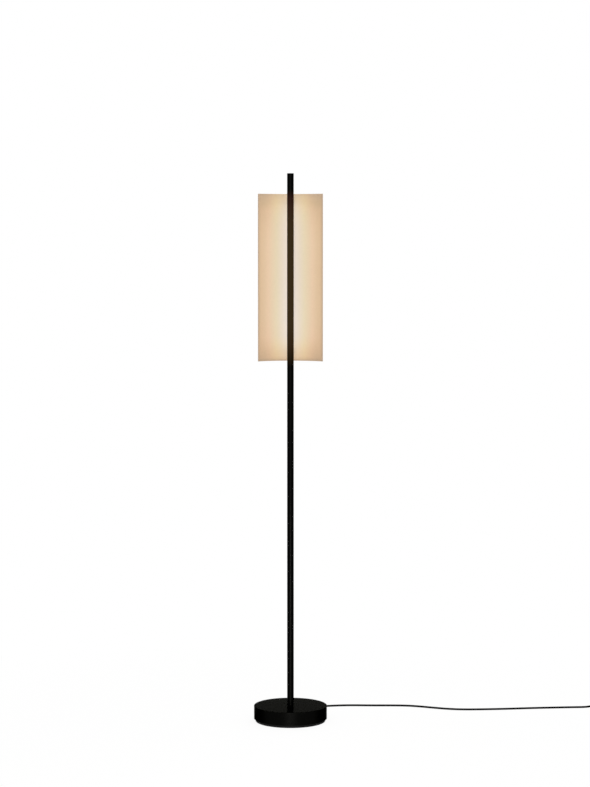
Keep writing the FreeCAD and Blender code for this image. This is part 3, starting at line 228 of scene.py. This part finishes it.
def shade_paint(name):
    """Beige lacquer with a fine leather-like grain."""
    return even_finish(name, (0.475, 0.352, 0.258), (0.455, 0.336, 0.246), 0.55, 0.0006, 0.00001,
                       Specular_IOR_Level=0.2)


def lit_shade_paint():
    """The lacquer on the hollow side, with the post's light on it painted as a glow."""
    finish = shade_paint("shade_paint_painted_glow")
    height = finish.share_along("Z", SHEET_LOW, SHEET_TOP)
    across = finish.share_aside(SHEET_HALF)
    colour = finish.steps(across, [(0.0, (0.440, 0.515, 0.550)), (0.17, (0.440, 0.515, 0.540)),
                                   (0.44, (0.465, 0.490, 0.335)), (0.68, (0.520, 0.390, 0.252)),
                                   (0.81, (0.440, 0.328, 0.180)), (0.90, (0.420, 0.292, 0.150)),
                                   (0.94, (0.325, 0.240, 0.118)), (1.0, (0.110, 0.075, 0.035))])
    # The painted glow: beside the post the ends stay bright and turn warm; towards the rims they
    # only fade.
    by_the_post = finish.steps(height, [(0.0, (0.23, 0.09, 0.03)), (0.012, (0.75, 0.48, 0.29)),
                                        (0.03, (0.91, 0.61, 0.39)), (0.064, (0.95, 0.70, 0.50)),
                                        (0.10, (0.88, 0.74, 0.60)), (0.15, (0.76, 0.71, 0.68)),
                                        (0.25, (0.71, 0.70, 0.70)), (0.50, (0.66, 0.65, 0.65)),
                                        (0.80, (0.68, 0.65, 0.62)), (0.87, (0.75, 0.69, 0.59)),
                                        (0.93, (0.88, 0.70, 0.54)), (0.965, (0.79, 0.58, 0.38)),
                                        (1.0, (0.56, 0.40, 0.25))])
    by_the_rims = finish.steps(height, [(0.0, (0.10, 0.09, 0.03)), (0.02, (0.40, 0.34, 0.25)),
                                        (0.064, (0.51, 0.44, 0.36)), (0.10, (0.59, 0.53, 0.48)),
                                        (0.14, (0.66, 0.61, 0.61)), (0.25, (0.66, 0.66, 0.66)),
                                        (0.70, (0.66, 0.66, 0.66)), (0.80, (0.63, 0.61, 0.58)),
                                        (0.90, (0.54, 0.50, 0.44)), (0.94, (0.38, 0.37, 0.24)),
                                        (0.98, (0.27, 0.26, 0.18)), (1.0, (0.12, 0.12, 0.08))])
    towards_rim = finish.steps(across, [(0.15, grey(0.0)), (0.44, grey(0.38)), (0.68, grey(0.90)),
                                        (0.80, grey(1.0))])
    lit = finish.mix("MIX", by_the_post, by_the_rims, towards_rim)
    # The post's light on the sheet is painted: emission set by the place on the sheet, brightest
    # beside the post.
    finish.glow(finish.mix("MULTIPLY", colour, lit))
    return finish


def lens_opal():
    finish = even_finish("lens_opal", (0.80, 0.76, 0.68), (0.76, 0.72, 0.64), 0.45, 0.002, 0.00002,
                         Specular_IOR_Level=0.4)
    finish.glow(finish.blend(finish.noise(0.03, 1.0), (1.0, 0.86, 0.66), (1.0, 0.90, 0.74)), 1.1)
    return finish


def rubber(name):
    return even_finish(name, grey(0.003), grey(0.0021), 0.72, 0.0012, 0.00004,
                       Specular_IOR_Level=0.10)


def moulded(name, shade=0.012, rough=0.42):
    return even_finish(name, grey(shade), grey(shade * 0.8), rough, 0.0005, 0.000012,
                       Specular_IOR_Level=0.12)


def sheath(name):
    """Soft cord sheath with a dull skin."""
    return even_finish(name, grey(0.0035), grey(0.00245), 0.46, 0.0009, 0.00002,
                       Specular_IOR_Level=0.02)


def metal(name, colour, rough, grain=0.0008, depth=0.000008):
    return even_finish(name, colour, tuple(0.85 * part for part in colour), rough, grain, depth,
                       Metallic=1.0)


FINISHES = {
    "black_paint": black_paint("black_paint_satin"),
    "shade_paint": shade_paint("shade_paint_plain"),
    "foot_rubber": rubber("foot_rubber_soft"),
    "cast_weight": even_finish("cast_iron_rough", (0.10, 0.098, 0.095), (0.05, 0.048, 0.046), 0.75,
                               0.0015, 0.00012, Metallic=0.6),
    "zinc_plate": metal("zinc_plated", (0.62, 0.63, 0.64), 0.36, 0.004),
    "screw_steel": metal("screw_steel_bright", (0.55, 0.55, 0.54), 0.30),
    "black_screws": even_finish("screw_black_oxide", (0.020, 0.020, 0.021), (0.012, 0.012, 0.012),
                                0.42, 0.0006, 0.00001, Metallic=0.5),
    "bush_bronze": metal("bronze_sintered", (0.55, 0.36, 0.17), 0.44, 0.0006, 0.00002),
    "slide_plastic": even_finish("slide_nylon", (0.62, 0.60, 0.55), (0.55, 0.53, 0.49), 0.5, 0.001,
                                 0.00001),
    "black_plastic": moulded("black_moulding"),
    "button_plastic": moulded("button_moulding", 0.020, 0.36),
    "cord_sheath": sheath("cord_sheath_black"),
    "wire_sheath": even_finish("wire_sheath_brown", (0.12, 0.045, 0.02), (0.09, 0.035, 0.016), 0.45,
                               0.0008, 0.00001),
    "white_plastic": even_finish("white_moulding", (0.74, 0.74, 0.72), (0.68, 0.68, 0.66), 0.42,
                                 0.0008, 0.000012),
    "bare_aluminium": metal("aluminium_drawn", (0.80, 0.81, 0.82), 0.32, 0.0012),
    "board_white": even_finish("board_lacquer", (0.80, 0.80, 0.77), (0.74, 0.74, 0.71), 0.3, 0.002,
                               0.00001),
    "chip_yellow": even_finish("chip_phosphor", (0.85, 0.62, 0.12), (0.75, 0.54, 0.10), 0.4, 0.0006,
                               0.00002),
    "lens_opal": lens_opal(),
    "spring_steel": metal("spring_steel_wire", (0.50, 0.50, 0.50), 0.28, 0.0006),
    "pin_nickel": metal("pin_nickel", (0.72, 0.70, 0.66), 0.22, 0.001),
}
POST_PAINT = post_paint()
SHADE_LIT = lit_shade_paint()

for subpart in frame["record"]["subparts"]:
    cad = NODES[subpart["node"]]
    cad.data.materials.clear()
    cad.data.materials.append(FINISHES[subpart["material_slot"]].material)
NODES["post_tube"].data.materials[0] = POST_PAINT.material

# ---- the cord ---------------------------------------------------------------------------

CORD = 0.006
# Routes in millimetres: out of the base's rear, down to the floor and off to the right.
LEAD_ROUTE = [
    (0, 136, 26), (0, 154.5, 26), (8.5, 171.3, 22), (23.5, 182.6, 14.5), (48.5, 187, 6.5),
    (92, 190.5, 3.05), (138, 202.5, 3.05), (190, 208, 3.05), (250, 204, 3.05), (312, 204.5, 3.05),
    (365, 201.5, 3.05), (405, 187.5, 3.05), (447, 168, 3.05), (490, 151, 3.05), (535, 143.5, 3.05),
    (595, 146, 3.05), (665, 152.5, 3.05), (740, 163.5, 3.05), (818, 171.5, 3.05), (880, 177, 3.05),
    (917, 178, 3.2), (937, 178, 7), (955, 178, 7),
]
LINK_ROUTE = [(1085, 178, 7), (1101, 178, 7), (1119, 178, 3.05), (1136, 178, 3.05)]
TAIL_ROUTE = [(1136, 86.05, 9.75), (1124, 86.05, 9.75), (1111, 86.05, 7), (1098, 86.05, 7)]

# The spare cord's coil, in millimetres: two layers of turns that lie side by side.
COIL_CENTRE = (1142.0, 132.05)
COIL_INNER = 24.5
COIL_STEP = 6.6
COIL_CLIMB = 6.7
COIL_CLIMB_TURNS = 0.5
COIL_TURNS = 6.5
COIL_POINTS = 24
COIL_FLOOR = 3.05


def coil_points():
    """Turns that spiral in on the floor, climb where they turn back, and spiral out."""
    points = []
    for step in range(int(COIL_TURNS * COIL_POINTS) + 1):
        turns = step / COIL_POINTS
        from_back = turns - COIL_TURNS / 2
        radius = COIL_INNER + COIL_STEP * abs(from_back)
        climbed = min(max(from_back / COIL_CLIMB_TURNS + 0.5, 0.0), 1.0)
        height = COIL_FLOOR + COIL_CLIMB * (1 - math.cos(math.pi * climbed)) / 2
        angle = math.pi / 2 - 2 * math.pi * turns
        points.append((COIL_CENTRE[0] + radius * math.cos(angle),
                       COIL_CENTRE[1] + radius * math.sin(angle), height))
    return points


def lay_cord(name, route):
    """One smooth round cord along the route, given in millimetres."""
    curve = bpy.data.curves.new(name, "CURVE")
    curve.dimensions = "3D"
    spline = curve.splines.new("NURBS")
    spline.points.add(len(route) - 1)
    for point, place in zip(spline.points, route):
        point.co = (*(part / 1000 for part in place), 1)
    spline.order_u = 3
    spline.use_endpoint_u = True
    spline.resolution_u = 6
    curve.bevel_depth = CORD / 2
    curve.bevel_resolution = 5
    curve.use_fill_caps = True
    curve.materials.append(FINISHES["cord_sheath"].material)
    cord = bpy.data.objects.new(name, curve)
    bpy.context.scene.collection.objects.link(cord)
    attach(cord, "base")
    return cord


lead = lay_cord("cord_to_dimmer", LEAD_ROUTE)
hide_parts("cord_lead")
spare = lay_cord("cord_coiled", LINK_ROUTE + coil_points() + TAIL_ROUTE)
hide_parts("cord_link", "cord_coil", "cord_end")

# ---- shaping ----------------------------------------------------------------------------

MM = 0.001
# Vertices closer than this are one, in metres: in a piece made here, and in a CAD node.
MERGE = 1e-6
CAD_MERGE = 2e-6
# Faces that bend less than these become one or shade as one. Sharper edges are rounded.
FLAT_BELOW = math.radians(0.5)
SMOOTH_BELOW = math.radians(35)
ROUNDED_OVER = math.radians(40)


def deselect():
    bpy.ops.object.select_all(action="DESELECT")


def hold(piece):
    """Makes the piece the only selected one, and the one that operators act on."""
    deselect()
    piece.select_set(True)
    bpy.context.view_layer.objects.active = piece


def named(name):
    """Names the shape just added and puts its place into its mesh."""
    piece = bpy.context.object
    piece.name = name
    piece.data.name = name
    bpy.ops.object.transform_apply(location=True, rotation=True, scale=True)
    return piece


def pick(kind, test):
    """In edit mode, selects the vertices, edges or faces that pass the test."""
    bpy.ops.mesh.select_mode(type=kind)
    bpy.ops.mesh.select_all(action="DESELECT")
    mesh = bmesh.from_edit_mesh(bpy.context.object.data)
    for part in {"VERT": mesh.verts, "EDGE": mesh.edges, "FACE": mesh.faces}[kind]:
        if test(part):
            part.select_set(True)
    mesh.select_flush_mode()
    bmesh.update_edit_mesh(bpy.context.object.data)


def merge_and_face_out():
    bpy.ops.mesh.select_all(action="SELECT")
    bpy.ops.mesh.remove_doubles(threshold=MERGE)
    bpy.ops.mesh.normals_make_consistent(inside=False)


def draw_outline(name, corners, closed):
    """In edit mode, a line of edges through (across, up) corners in millimetres."""
    deselect()
    bpy.ops.mesh.primitive_plane_add(size=MM, location=(corners[0][0] * MM, 0, corners[0][1] * MM))
    piece = named(name)
    bpy.ops.object.mode_set(mode="EDIT")
    bpy.ops.mesh.select_mode(type="VERT")
    bpy.ops.mesh.merge(type="CENTER")
    route = corners + corners[:1] if closed else corners
    for here, there in zip(route, route[1:]):
        move = ((there[0] - here[0]) * MM, 0, (there[1] - here[1]) * MM)
        bpy.ops.mesh.extrude_region_move(TRANSFORM_OT_translate={"value": move})
    bpy.ops.mesh.select_all(action="SELECT")
    bpy.ops.mesh.remove_doubles(threshold=MERGE)
    return piece


def turned(name, outline, steps=96, closed=True):
    """Spins an outline of (radius, height, rounding) in millimetres about the upright axis."""
    piece = draw_outline(name, [corner[:2] for corner in outline], closed)
    for radius, height, rounding in outline:
        if rounding:
            corner = Vector((radius * MM, 0, height * MM))
            pick("VERT", lambda vert: (vert.co - corner).length < MERGE)
            bpy.ops.mesh.bevel(offset=rounding * MM, segments=4, affect="VERTICES")
    bpy.ops.mesh.select_all(action="SELECT")
    bpy.ops.mesh.spin(steps=steps, angle=2 * math.pi, center=(0, 0, 0), axis=(0, 0, 1))
    merge_and_face_out()
    bpy.ops.object.mode_set(mode="OBJECT")
    return piece


def lay(piece, place, turn=(0, 0, 0)):
    """Turns the piece, given in degrees, moves it, given in millimetres, and leaves it there."""
    hold(piece)
    piece.rotation_euler = [math.radians(angle) for angle in turn]
    piece.location = [part * MM for part in place]
    bpy.ops.object.transform_apply(location=True, rotation=True, scale=True)
    return piece


def join(pieces):
    hold(pieces[0])
    for piece in pieces[1:]:
        piece.select_set(True)
    bpy.ops.object.join()
    return bpy.context.object


def soften_edges(piece, width, segments=2):
    """Rounds every sharp edge, width millimetres back from it."""
    hold(piece)
    bevel = piece.modifiers.new("softened_edges", "BEVEL")
    bevel.width = width * MM
    bevel.segments = segments
    bevel.limit_method = "ANGLE"
    bevel.angle_limit = ROUNDED_OVER
    bpy.ops.object.modifier_apply(modifier=bevel.name)


def cut(piece, cutter):
    """Takes the cutter's shape out of the piece."""
    hold(piece)
    hole = piece.modifiers.new("cut", "BOOLEAN")
    hole.operation = "DIFFERENCE"
    hole.solver = "EXACT"
    hole.object = cutter
    bpy.ops.object.modifier_apply(modifier=hole.name)
    bpy.data.objects.remove(cutter)


def dress(piece, body, slot, node):
    """Gives the finished piece its surface and its body, and hides the CAD node that it stands for.
    """
    if not piece.data.materials:
        piece.data.materials.append(FINISHES[slot].material)
    hold(piece)
    bpy.ops.object.shade_smooth_by_angle(angle=SMOOTH_BELOW)
    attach(piece, body)
    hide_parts(node)
    return piece


def softened(node, name, width):
    """A copy of a CAD node with whole faces and with its sharp edges taken off."""
    piece = bpy.data.objects.new(name, NODES[node].data.copy())
    bpy.context.scene.collection.objects.link(piece)
    piece.data.name = name
    hold(piece)
    bpy.ops.mesh.customdata_custom_splitnormals_clear()
    bpy.ops.object.mode_set(mode="EDIT")
    bpy.ops.mesh.select_all(action="SELECT")
    bpy.ops.mesh.remove_doubles(threshold=CAD_MERGE)
    bpy.ops.mesh.dissolve_limited(angle_limit=FLAT_BELOW)
    bpy.ops.object.mode_set(mode="OBJECT")
    soften_edges(piece, width)
    return piece


# ---- the base's foot --------------------------------------------------------------------

FOOT_OUTER, FOOT_INNER, FOOT_HIGH = 105, 90, 8
FOOT_GROOVES = 4
FOOT_GROOVE_START = 102.6
FOOT_GROOVE_PITCH = 3.4
FOOT_GROOVE_WIDE, FOOT_GROOVE_DEEP, FOOT_GROOVE_SLOPE = 1.3, 0.9, 0.25


def foot_grooves():
    """Corners of the grooves in the ring's underside, from the outermost inwards."""
    corners = []
    for number in range(FOOT_GROOVES):
        edge = FOOT_GROOVE_START - FOOT_GROOVE_PITCH * number
        corners += [(edge, 0.0, 0), (edge - FOOT_GROOVE_SLOPE, FOOT_GROOVE_DEEP, 0),
                    (edge - (FOOT_GROOVE_WIDE - FOOT_GROOVE_SLOPE), FOOT_GROOVE_DEEP, 0),
                    (edge - FOOT_GROOVE_WIDE, 0.0, 0)]
    return corners


foot = turned("foot_ring_grooved", [(FOOT_OUTER, FOOT_HIGH, 0.3), (FOOT_OUTER, 0, 0.8)]
              + foot_grooves() + [(FOOT_INNER, 0, 0.6), (FOOT_INNER, FOOT_HIGH, 0.3)], steps=192)
dress(foot, "base", "foot_rubber", "foot_ring")

# ---- the curved sheet and what holds it -------------------------------------------------

SHEET_OUTER = 0.12302
SHEET_INNER = 0.12152
SHEET_AXIS = -0.07852
SHEET_SWEEP = 2 * math.asin(SHEET_HALF / SHEET_OUTER)
SHEET_ROWS = 12
SHEET_COLUMNS = 96
# In millimetres: how far back its rims are rounded, its holes' radius and their places.
SHEET_RIM = 0.4
SCREW_HOLE = 2.1
SCREW_HOLE_PLACES = ((0, 44, 1111), (0, 44, 1564))


def bent_sheet():
    """One upright edge, swept round the bend, given its wall, rounded rims and two holes."""
    deselect()
    edge_at = (-SHEET_HALF, SHEET_AXIS + SHEET_OUTER * math.cos(SHEET_SWEEP / 2), SHEET_LOW)
    bpy.ops.mesh.primitive_plane_add(size=MM, location=edge_at)
    sheet = named("reflector_sheet")
    bpy.ops.object.mode_set(mode="EDIT")
    bpy.ops.mesh.select_mode(type="VERT")
    bpy.ops.mesh.merge(type="CENTER")
    rise = (SHEET_TOP - SHEET_LOW) / SHEET_ROWS
    for row in range(SHEET_ROWS):
        bpy.ops.mesh.extrude_region_move(TRANSFORM_OT_translate={"value": (0, 0, rise)})
    bpy.ops.mesh.select_all(action="SELECT")
    bpy.ops.mesh.spin(steps=SHEET_COLUMNS, angle=SHEET_SWEEP, center=(0, SHEET_AXIS, 0),
                      axis=(0, 0, 1))
    merge_and_face_out()
    mesh = bmesh.from_edit_mesh(sheet.data)
    mesh.faces.ensure_lookup_table()
    middle = max(mesh.faces, key=lambda face: face.calc_center_median().y)
    if middle.normal.y < 0:
        bpy.ops.mesh.flip_normals()
    bpy.ops.object.mode_set(mode="OBJECT")
    wall = sheet.modifiers.new("wall", "SOLIDIFY")
    wall.thickness = SHEET_OUTER - SHEET_INNER
    wall.offset = -1
    wall.use_even_offset = True
    hold(sheet)
    bpy.ops.object.modifier_apply(modifier=wall.name)
    soften_edges(sheet, SHEET_RIM, segments=3)
    for place in SCREW_HOLE_PLACES:
        deselect()
        bpy.ops.mesh.primitive_cylinder_add(vertices=32, radius=SCREW_HOLE * MM, depth=20 * MM,
                                            location=[part * MM for part in place],
                                            rotation=(math.radians(90), 0, 0))
        cut(sheet, named("screw_hole"))
    sheet.data.materials.append(FINISHES["shade_paint"].material)
    sheet.data.materials.append(SHADE_LIT.material)
    bpy.ops.object.mode_set(mode="EDIT")

    def faces_the_post(face):
        centre = face.calc_center_median()
        return math.hypot(centre.x, centre.y - SHEET_AXIS) < SHEET_INNER + 0.05 * MM

    pick("FACE", faces_the_post)
    sheet.active_material_index = 1
    bpy.ops.object.material_slot_assign()
    bpy.ops.object.mode_set(mode="OBJECT")
    return sheet


dress(bent_sheet(), "post", "shade_paint", "reflector")
dress(softened("bracket_washers", "bracket_washers_bright", width=0.15), "post", "black_screws",
      "bracket_washers")

# ---- the cord's gland and sleeves -------------------------------------------------------


def ribbed_nose(root, tip, root_radius, tip_radius, ribs, depth):
    """Corners of a nose that tapers from root to tip, with grooves that let it bend."""
    corners = []
    pitch = (tip - root) / (ribs + 1)
    for number in range(ribs):
        for along, down in ((0.62, 0), (0.70, 1), (1.00, 1), (1.08, 0)):
            place = root + pitch * (number + along)
            radius = root_radius + (tip_radius - root_radius) * (place - root) / (tip - root)
            corners.append((radius - depth * down, place, 0))
    return corners


gland = turned("cord_gland_ribbed", [(3.05, 101.6, 0), (6, 101.6, 0.4), (6, 110, 0), (8.5, 110, 0),
                                     (8.5, 112, 0.6), (6.3, 112, 0.3)]
               + ribbed_nose(112, 136, 6.0, 4.2, 5, 0.9) + [(4.2, 136, 0.5), (3.05, 136, 0.2)],
               steps=64)
lay(gland, (0, 0, 26), (-90, 0, 0))
dress(gland, "base", "black_plastic", "cord_gland")

# The dimmer's middle, its two ends and the height at which the cord goes in, in millimetres.
DIMMER_MIDDLE = (1020, 178)
DIMMER_START, DIMMER_END = 955, 1085
CORD_HIGH = 7


def dimmer_sleeve(name):
    return turned(name, [(0, 0, 0), (3.7, 0, 0.4)] + ribbed_nose(1, 17, 3.8, 5.3, 4, 0.7)
                  + [(5.4, 17, 0.2), (5.4, 20, 0), (3.7, 20, 0), (3.7, 22, 0), (4.9, 22, 0),
                     (4.9, 25, 0.4), (0, 25, 0)], steps=48, closed=False)


near_sleeve = lay(dimmer_sleeve("dimmer_sleeve_near"),
                  (DIMMER_START, DIMMER_MIDDLE[1], CORD_HIGH), (0, 90, 0))
far_sleeve = lay(dimmer_sleeve("dimmer_sleeve_far"),
                 (DIMMER_END, DIMMER_MIDDLE[1], CORD_HIGH), (0, -90, 0))
for sleeve in (near_sleeve, far_sleeve):
    dress(sleeve, "base", "black_plastic", "dimmer_sleeves")

# ---- the foot dimmer --------------------------------------------------------------------

button = turned("foot_button", [(0, 29.0, 0), (8.6, 29.25, 0.8), (9.6, 30, 0.3), (11.0, 30, 0.15),
                                (11.25, 29.6, 0), (11.75, 29.6, 0), (12.0, 30, 0.15), (15, 30, 1.5),
                                (15, 24, 0.1), (18, 24, 0.3), (18, 21.5, 0.3), (2.5, 21.5, 0.2),
                                (2.5, 13.5, 0.4), (0, 13.5, 0)], steps=128, closed=False)
lay(button, (*DIMMER_MIDDLE, 0))
dress(button, "button", "button_plastic", "dimmer_button")
for node in ("dimmer_case", "dimmer_cover"):
    dress(softened(node, f"{node}_soft", width=0.5), "base", "black_plastic", node)

SPRING_FOOT, SPRING_TOP = 6.6, 21.5
SPRING_RADIUS = 5.6
SPRING_WIRE = 1.2
SPRING_TURNS = 5


def coil_spring():
    """The round wire that lifts the button, wound upwards from the board."""
    deselect()
    bpy.ops.mesh.primitive_circle_add(vertices=12, radius=SPRING_WIRE / 2 * MM,
                                      location=(SPRING_RADIUS * MM, 0, 0),
                                      rotation=(math.radians(90), 0, 0))
    spring = named("button_spring_coil")
    turns = spring.modifiers.new("turns", "SCREW")
    turns.iterations = SPRING_TURNS
    turns.screw_offset = (SPRING_TOP - SPRING_FOOT - SPRING_WIRE) / SPRING_TURNS * MM
    turns.steps = turns.render_steps = 24
    bpy.ops.object.modifier_apply(modifier=turns.name)
    bpy.ops.object.mode_set(mode="EDIT")
    bpy.ops.mesh.select_mode(type="EDGE")
    bpy.ops.mesh.select_all(action="DESELECT")
    bpy.ops.mesh.select_non_manifold()
    bpy.ops.mesh.fill_holes(sides=0)
    merge_and_face_out()
    bpy.ops.object.mode_set(mode="OBJECT")
    return lay(spring, (*DIMMER_MIDDLE, SPRING_FOOT + SPRING_WIRE / 2))


spring = dress(coil_spring(), "base", "spring_steel", "button_spring")
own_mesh(spring)

# ---- the plug ---------------------------------------------------------------------------

PLUG_LEFT, PLUG_RIGHT = 1043, 1078
PLUG_FRONT, PLUG_REAR = 68.55, 103.55
PLUG_TOP = 14
PLUG_AXIS = (86.05, CORD_HIGH)
PLUG_CORD_END = 1098
# How far back from its upright corners, its top edge and its foot the plug is rounded.
ROUND_CORNERS, ROUND_TOP, ROUND_FOOT = 6, 3, 1.2
GRIP_GROOVES = 4
GRIP_START = PLUG_LEFT + 15
GRIP_PITCH = 3.6
GRIP_WIDE, GRIP_DEEP = 1.6, 0.7
PIN_ASIDE = 9.3
PIN_LENGTH = 19
PIN_BARE = 9


def plug_block():
    """The moulded block, with grooves across its top for the fingers."""
    deselect()
    size = (PLUG_RIGHT - PLUG_LEFT, PLUG_REAR - PLUG_FRONT, PLUG_TOP)
    bpy.ops.mesh.primitive_cube_add(
        size=MM, location=((PLUG_LEFT + PLUG_RIGHT) / 2 * MM, PLUG_AXIS[0] * MM, PLUG_TOP / 2 * MM),
        scale=size)
    block = named("plug_body_moulded")
    bpy.ops.object.mode_set(mode="EDIT")
    pick("EDGE", lambda edge: abs(edge.verts[0].co.z - edge.verts[1].co.z) > MM)
    bpy.ops.mesh.bevel(offset=ROUND_CORNERS * MM, segments=8, affect="EDGES")
    pick("EDGE", lambda edge: all(vert.co.z > (PLUG_TOP - 0.01) * MM for vert in edge.verts))
    bpy.ops.mesh.bevel(offset=ROUND_TOP * MM, segments=6, affect="EDGES")
    pick("EDGE", lambda edge: all(vert.co.z < 0.01 * MM for vert in edge.verts))
    bpy.ops.mesh.bevel(offset=ROUND_FOOT * MM, segments=4, affect="EDGES")
    for number in range(GRIP_GROOVES):
        for edge in (0, GRIP_WIDE):
            bpy.ops.mesh.select_mode(type="FACE")
            bpy.ops.mesh.select_all(action="SELECT")
            across = (GRIP_START + GRIP_PITCH * number + edge) * MM
            bpy.ops.mesh.bisect(plane_co=(across, 0, 0), plane_no=(1, 0, 0))

    def in_a_groove(face):
        along = face.calc_center_median().x / MM - GRIP_START
        in_reach = 0 < along < GRIP_PITCH * (GRIP_GROOVES - 1) + GRIP_WIDE
        return face.normal.z > 0.99 and in_reach and along % GRIP_PITCH < GRIP_WIDE

    pick("FACE", in_a_groove)
    bpy.ops.mesh.extrude_region_move(TRANSFORM_OT_translate={"value": (0, 0, -GRIP_DEEP * MM)})
    bpy.ops.mesh.select_all(action="SELECT")
    bpy.ops.mesh.normals_make_consistent(inside=False)
    bpy.ops.object.mode_set(mode="OBJECT")
    return block


plug_nose = turned("plug_nose", [(0, 0, 0), (3.8, 0, 0.4)] + ribbed_nose(1, 17, 3.9, 5.7, 4, 0.8)
                   + [(6, 20, 0), (6, 21, 0), (0, 21, 0)], steps=48, closed=False)
lay(plug_nose, (PLUG_CORD_END, *PLUG_AXIS), (0, -90, 0))
dress(join([plug_block(), plug_nose]), "base", "black_plastic", "plug_body")


def plug_pin(name, aside):
    """A round pin with a bare tip and an insulated foot."""
    pin = turned(name, [(0, 0, 0), (1.9, 0, 1.1), (1.9, PIN_BARE, 0), (2, PIN_BARE, 0.05),
                        (2, PIN_LENGTH, 0), (0, PIN_LENGTH, 0)], steps=32, closed=False)
    return lay(pin, (PLUG_LEFT - PIN_LENGTH, PLUG_AXIS[0] + aside, PLUG_AXIS[1]), (0, 90, 0))


pins = join([plug_pin("plug_pins_round", -PIN_ASIDE), plug_pin("far_pin", PIN_ASIDE)])
pins.data.materials.append(FINISHES["pin_nickel"].material)
pins.data.materials.append(FINISHES["black_plastic"].material)
hold(pins)
bpy.ops.object.mode_set(mode="EDIT")
bare_to = PLUG_LEFT - PIN_LENGTH + PIN_BARE
pick("FACE", lambda face: face.calc_center_median().x > (bare_to - 0.1) * MM)
pins.active_material_index = 1
bpy.ops.object.material_slot_assign()
bpy.ops.object.mode_set(mode="OBJECT")
dress(pins, "base", "pin_nickel", "plug_pins")

# ---- floor, light and background --------------------------------------------------------

FLOOR_ACROSS = 80
FLOOR_DROP = 0.0002
FLOOR_PALE = 0.80
# How much of the floor that is seen is plain white: less near the base, which keeps a shadow.
WHITE_SHARE_NEAR, WHITE_SHARE_FAR = 0.90, 1.0
NEAR_THE_BASE, FAR_FROM_BASE = 0.15, 1.4
WORLD_LIGHT, WORLD_SEEN = 0.70, 1.0
SOFTBOX_COLOUR = (1.0, 0.985, 0.96)


def seen_or_mirrored(tree):
    """1 for what the camera sees, straight, in a mirror or through glass; else 0."""
    path = tree.nodes.new("ShaderNodeLightPath")
    total = path.outputs["Is Camera Ray"]
    for name in ("Is Glossy Ray", "Is Transmission Ray"):
        more = tree.nodes.new("ShaderNodeMath")
        more.operation = "MAXIMUM"
        tree.links.new(total, more.inputs[0])
        tree.links.new(path.outputs[name], more.inputs[1])
        total = more.outputs["Value"]
    return total


def set_floor():
    deselect()
    bpy.ops.mesh.primitive_plane_add(size=FLOOR_ACROSS, location=(0, 0, -FLOOR_DROP))
    floor = bpy.context.object
    floor.name = "studio_floor"
    material = bpy.data.materials.new("studio_floor_pale")
    material.use_nodes = True
    tree = material.node_tree
    tree.nodes.clear()
    matte = tree.nodes.new("ShaderNodeBsdfDiffuse")
    matte.inputs["Color"].default_value = (*grey(FLOOR_PALE), 1)
    white = tree.nodes.new("ShaderNodeEmission")
    white.inputs["Color"].default_value = (1, 1, 1, 1)
    place = tree.nodes.new("ShaderNodeTexCoord")
    away = tree.nodes.new("ShaderNodeVectorMath")
    away.operation = "LENGTH"
    tree.links.new(place.outputs["Object"], away.inputs[0])
    fade = tree.nodes.new("ShaderNodeMapRange")
    fade.inputs["From Min"].default_value = NEAR_THE_BASE
    fade.inputs["From Max"].default_value = FAR_FROM_BASE
    fade.inputs["To Min"].default_value = WHITE_SHARE_NEAR
    fade.inputs["To Max"].default_value = WHITE_SHARE_FAR
    tree.links.new(away.outputs["Value"], fade.inputs["Value"])
    share = tree.nodes.new("ShaderNodeMath")
    share.operation = "MULTIPLY"
    tree.links.new(fade.outputs["Result"], share.inputs[1])
    tree.links.new(seen_or_mirrored(tree), share.inputs[0])
    mix = tree.nodes.new("ShaderNodeMixShader")
    tree.links.new(share.outputs["Value"], mix.inputs["Fac"])
    tree.links.new(matte.outputs["BSDF"], mix.inputs[1])
    tree.links.new(white.outputs["Emission"], mix.inputs[2])
    out = tree.nodes.new("ShaderNodeOutputMaterial")
    tree.links.new(mix.outputs["Shader"], out.inputs["Surface"])
    floor.data.materials.append(material)


def set_world():
    world = bpy.data.worlds.new("studio")
    bpy.context.scene.world = world
    world.use_nodes = True
    tree = world.node_tree
    background = tree.nodes["Background"]
    background.inputs["Color"].default_value = (1, 1, 1, 1)
    level = tree.nodes.new("ShaderNodeMapRange")
    level.inputs["To Min"].default_value = WORLD_LIGHT
    level.inputs["To Max"].default_value = WORLD_SEEN
    tree.links.new(seen_or_mirrored(tree), level.inputs["Value"])
    tree.links.new(level.outputs["Result"], background.inputs["Strength"])


def add_softbox(name, place, aim, width, height, power, spread=180):
    """A rectangular lamp: metres, watts, and degrees over which its light fans out."""
    lamp = bpy.data.lights.new(name, "AREA")
    lamp.shape = "RECTANGLE"
    lamp.size = width
    lamp.size_y = height
    lamp.energy = power
    lamp.spread = math.radians(spread)
    lamp.color = SOFTBOX_COLOUR
    softbox = bpy.data.objects.new(name, lamp)
    bpy.context.scene.collection.objects.link(softbox)
    softbox.location = place
    softbox.rotation_euler = (Vector(aim) - Vector(place)).to_track_quat("-Z", "Y").to_euler()
    softbox.visible_camera = False


set_floor()
set_world()
add_softbox("softbox_above", place=(0.3, -0.6, 4.2), aim=(0.2, 0, 0.6), width=3.0, height=3.0,
            power=70)
add_softbox("softbox_front", place=(-0.5, -4.8, 1.75), aim=(0, 0, 1.0), width=1.2, height=2.6,
            power=47)
add_softbox("softbox_low", place=(0.0, -2.2, 0.16), aim=(0, 0, 0.03), width=0.85, height=0.28,
            power=1.8, spread=44)
add_softbox("softbox_behind", place=(1.3, 3.6, 2.6), aim=(0, 0, 0.7), width=1.2, height=2.0,
            power=40)

bpy.context.scene.view_settings.view_transform = "Standard"
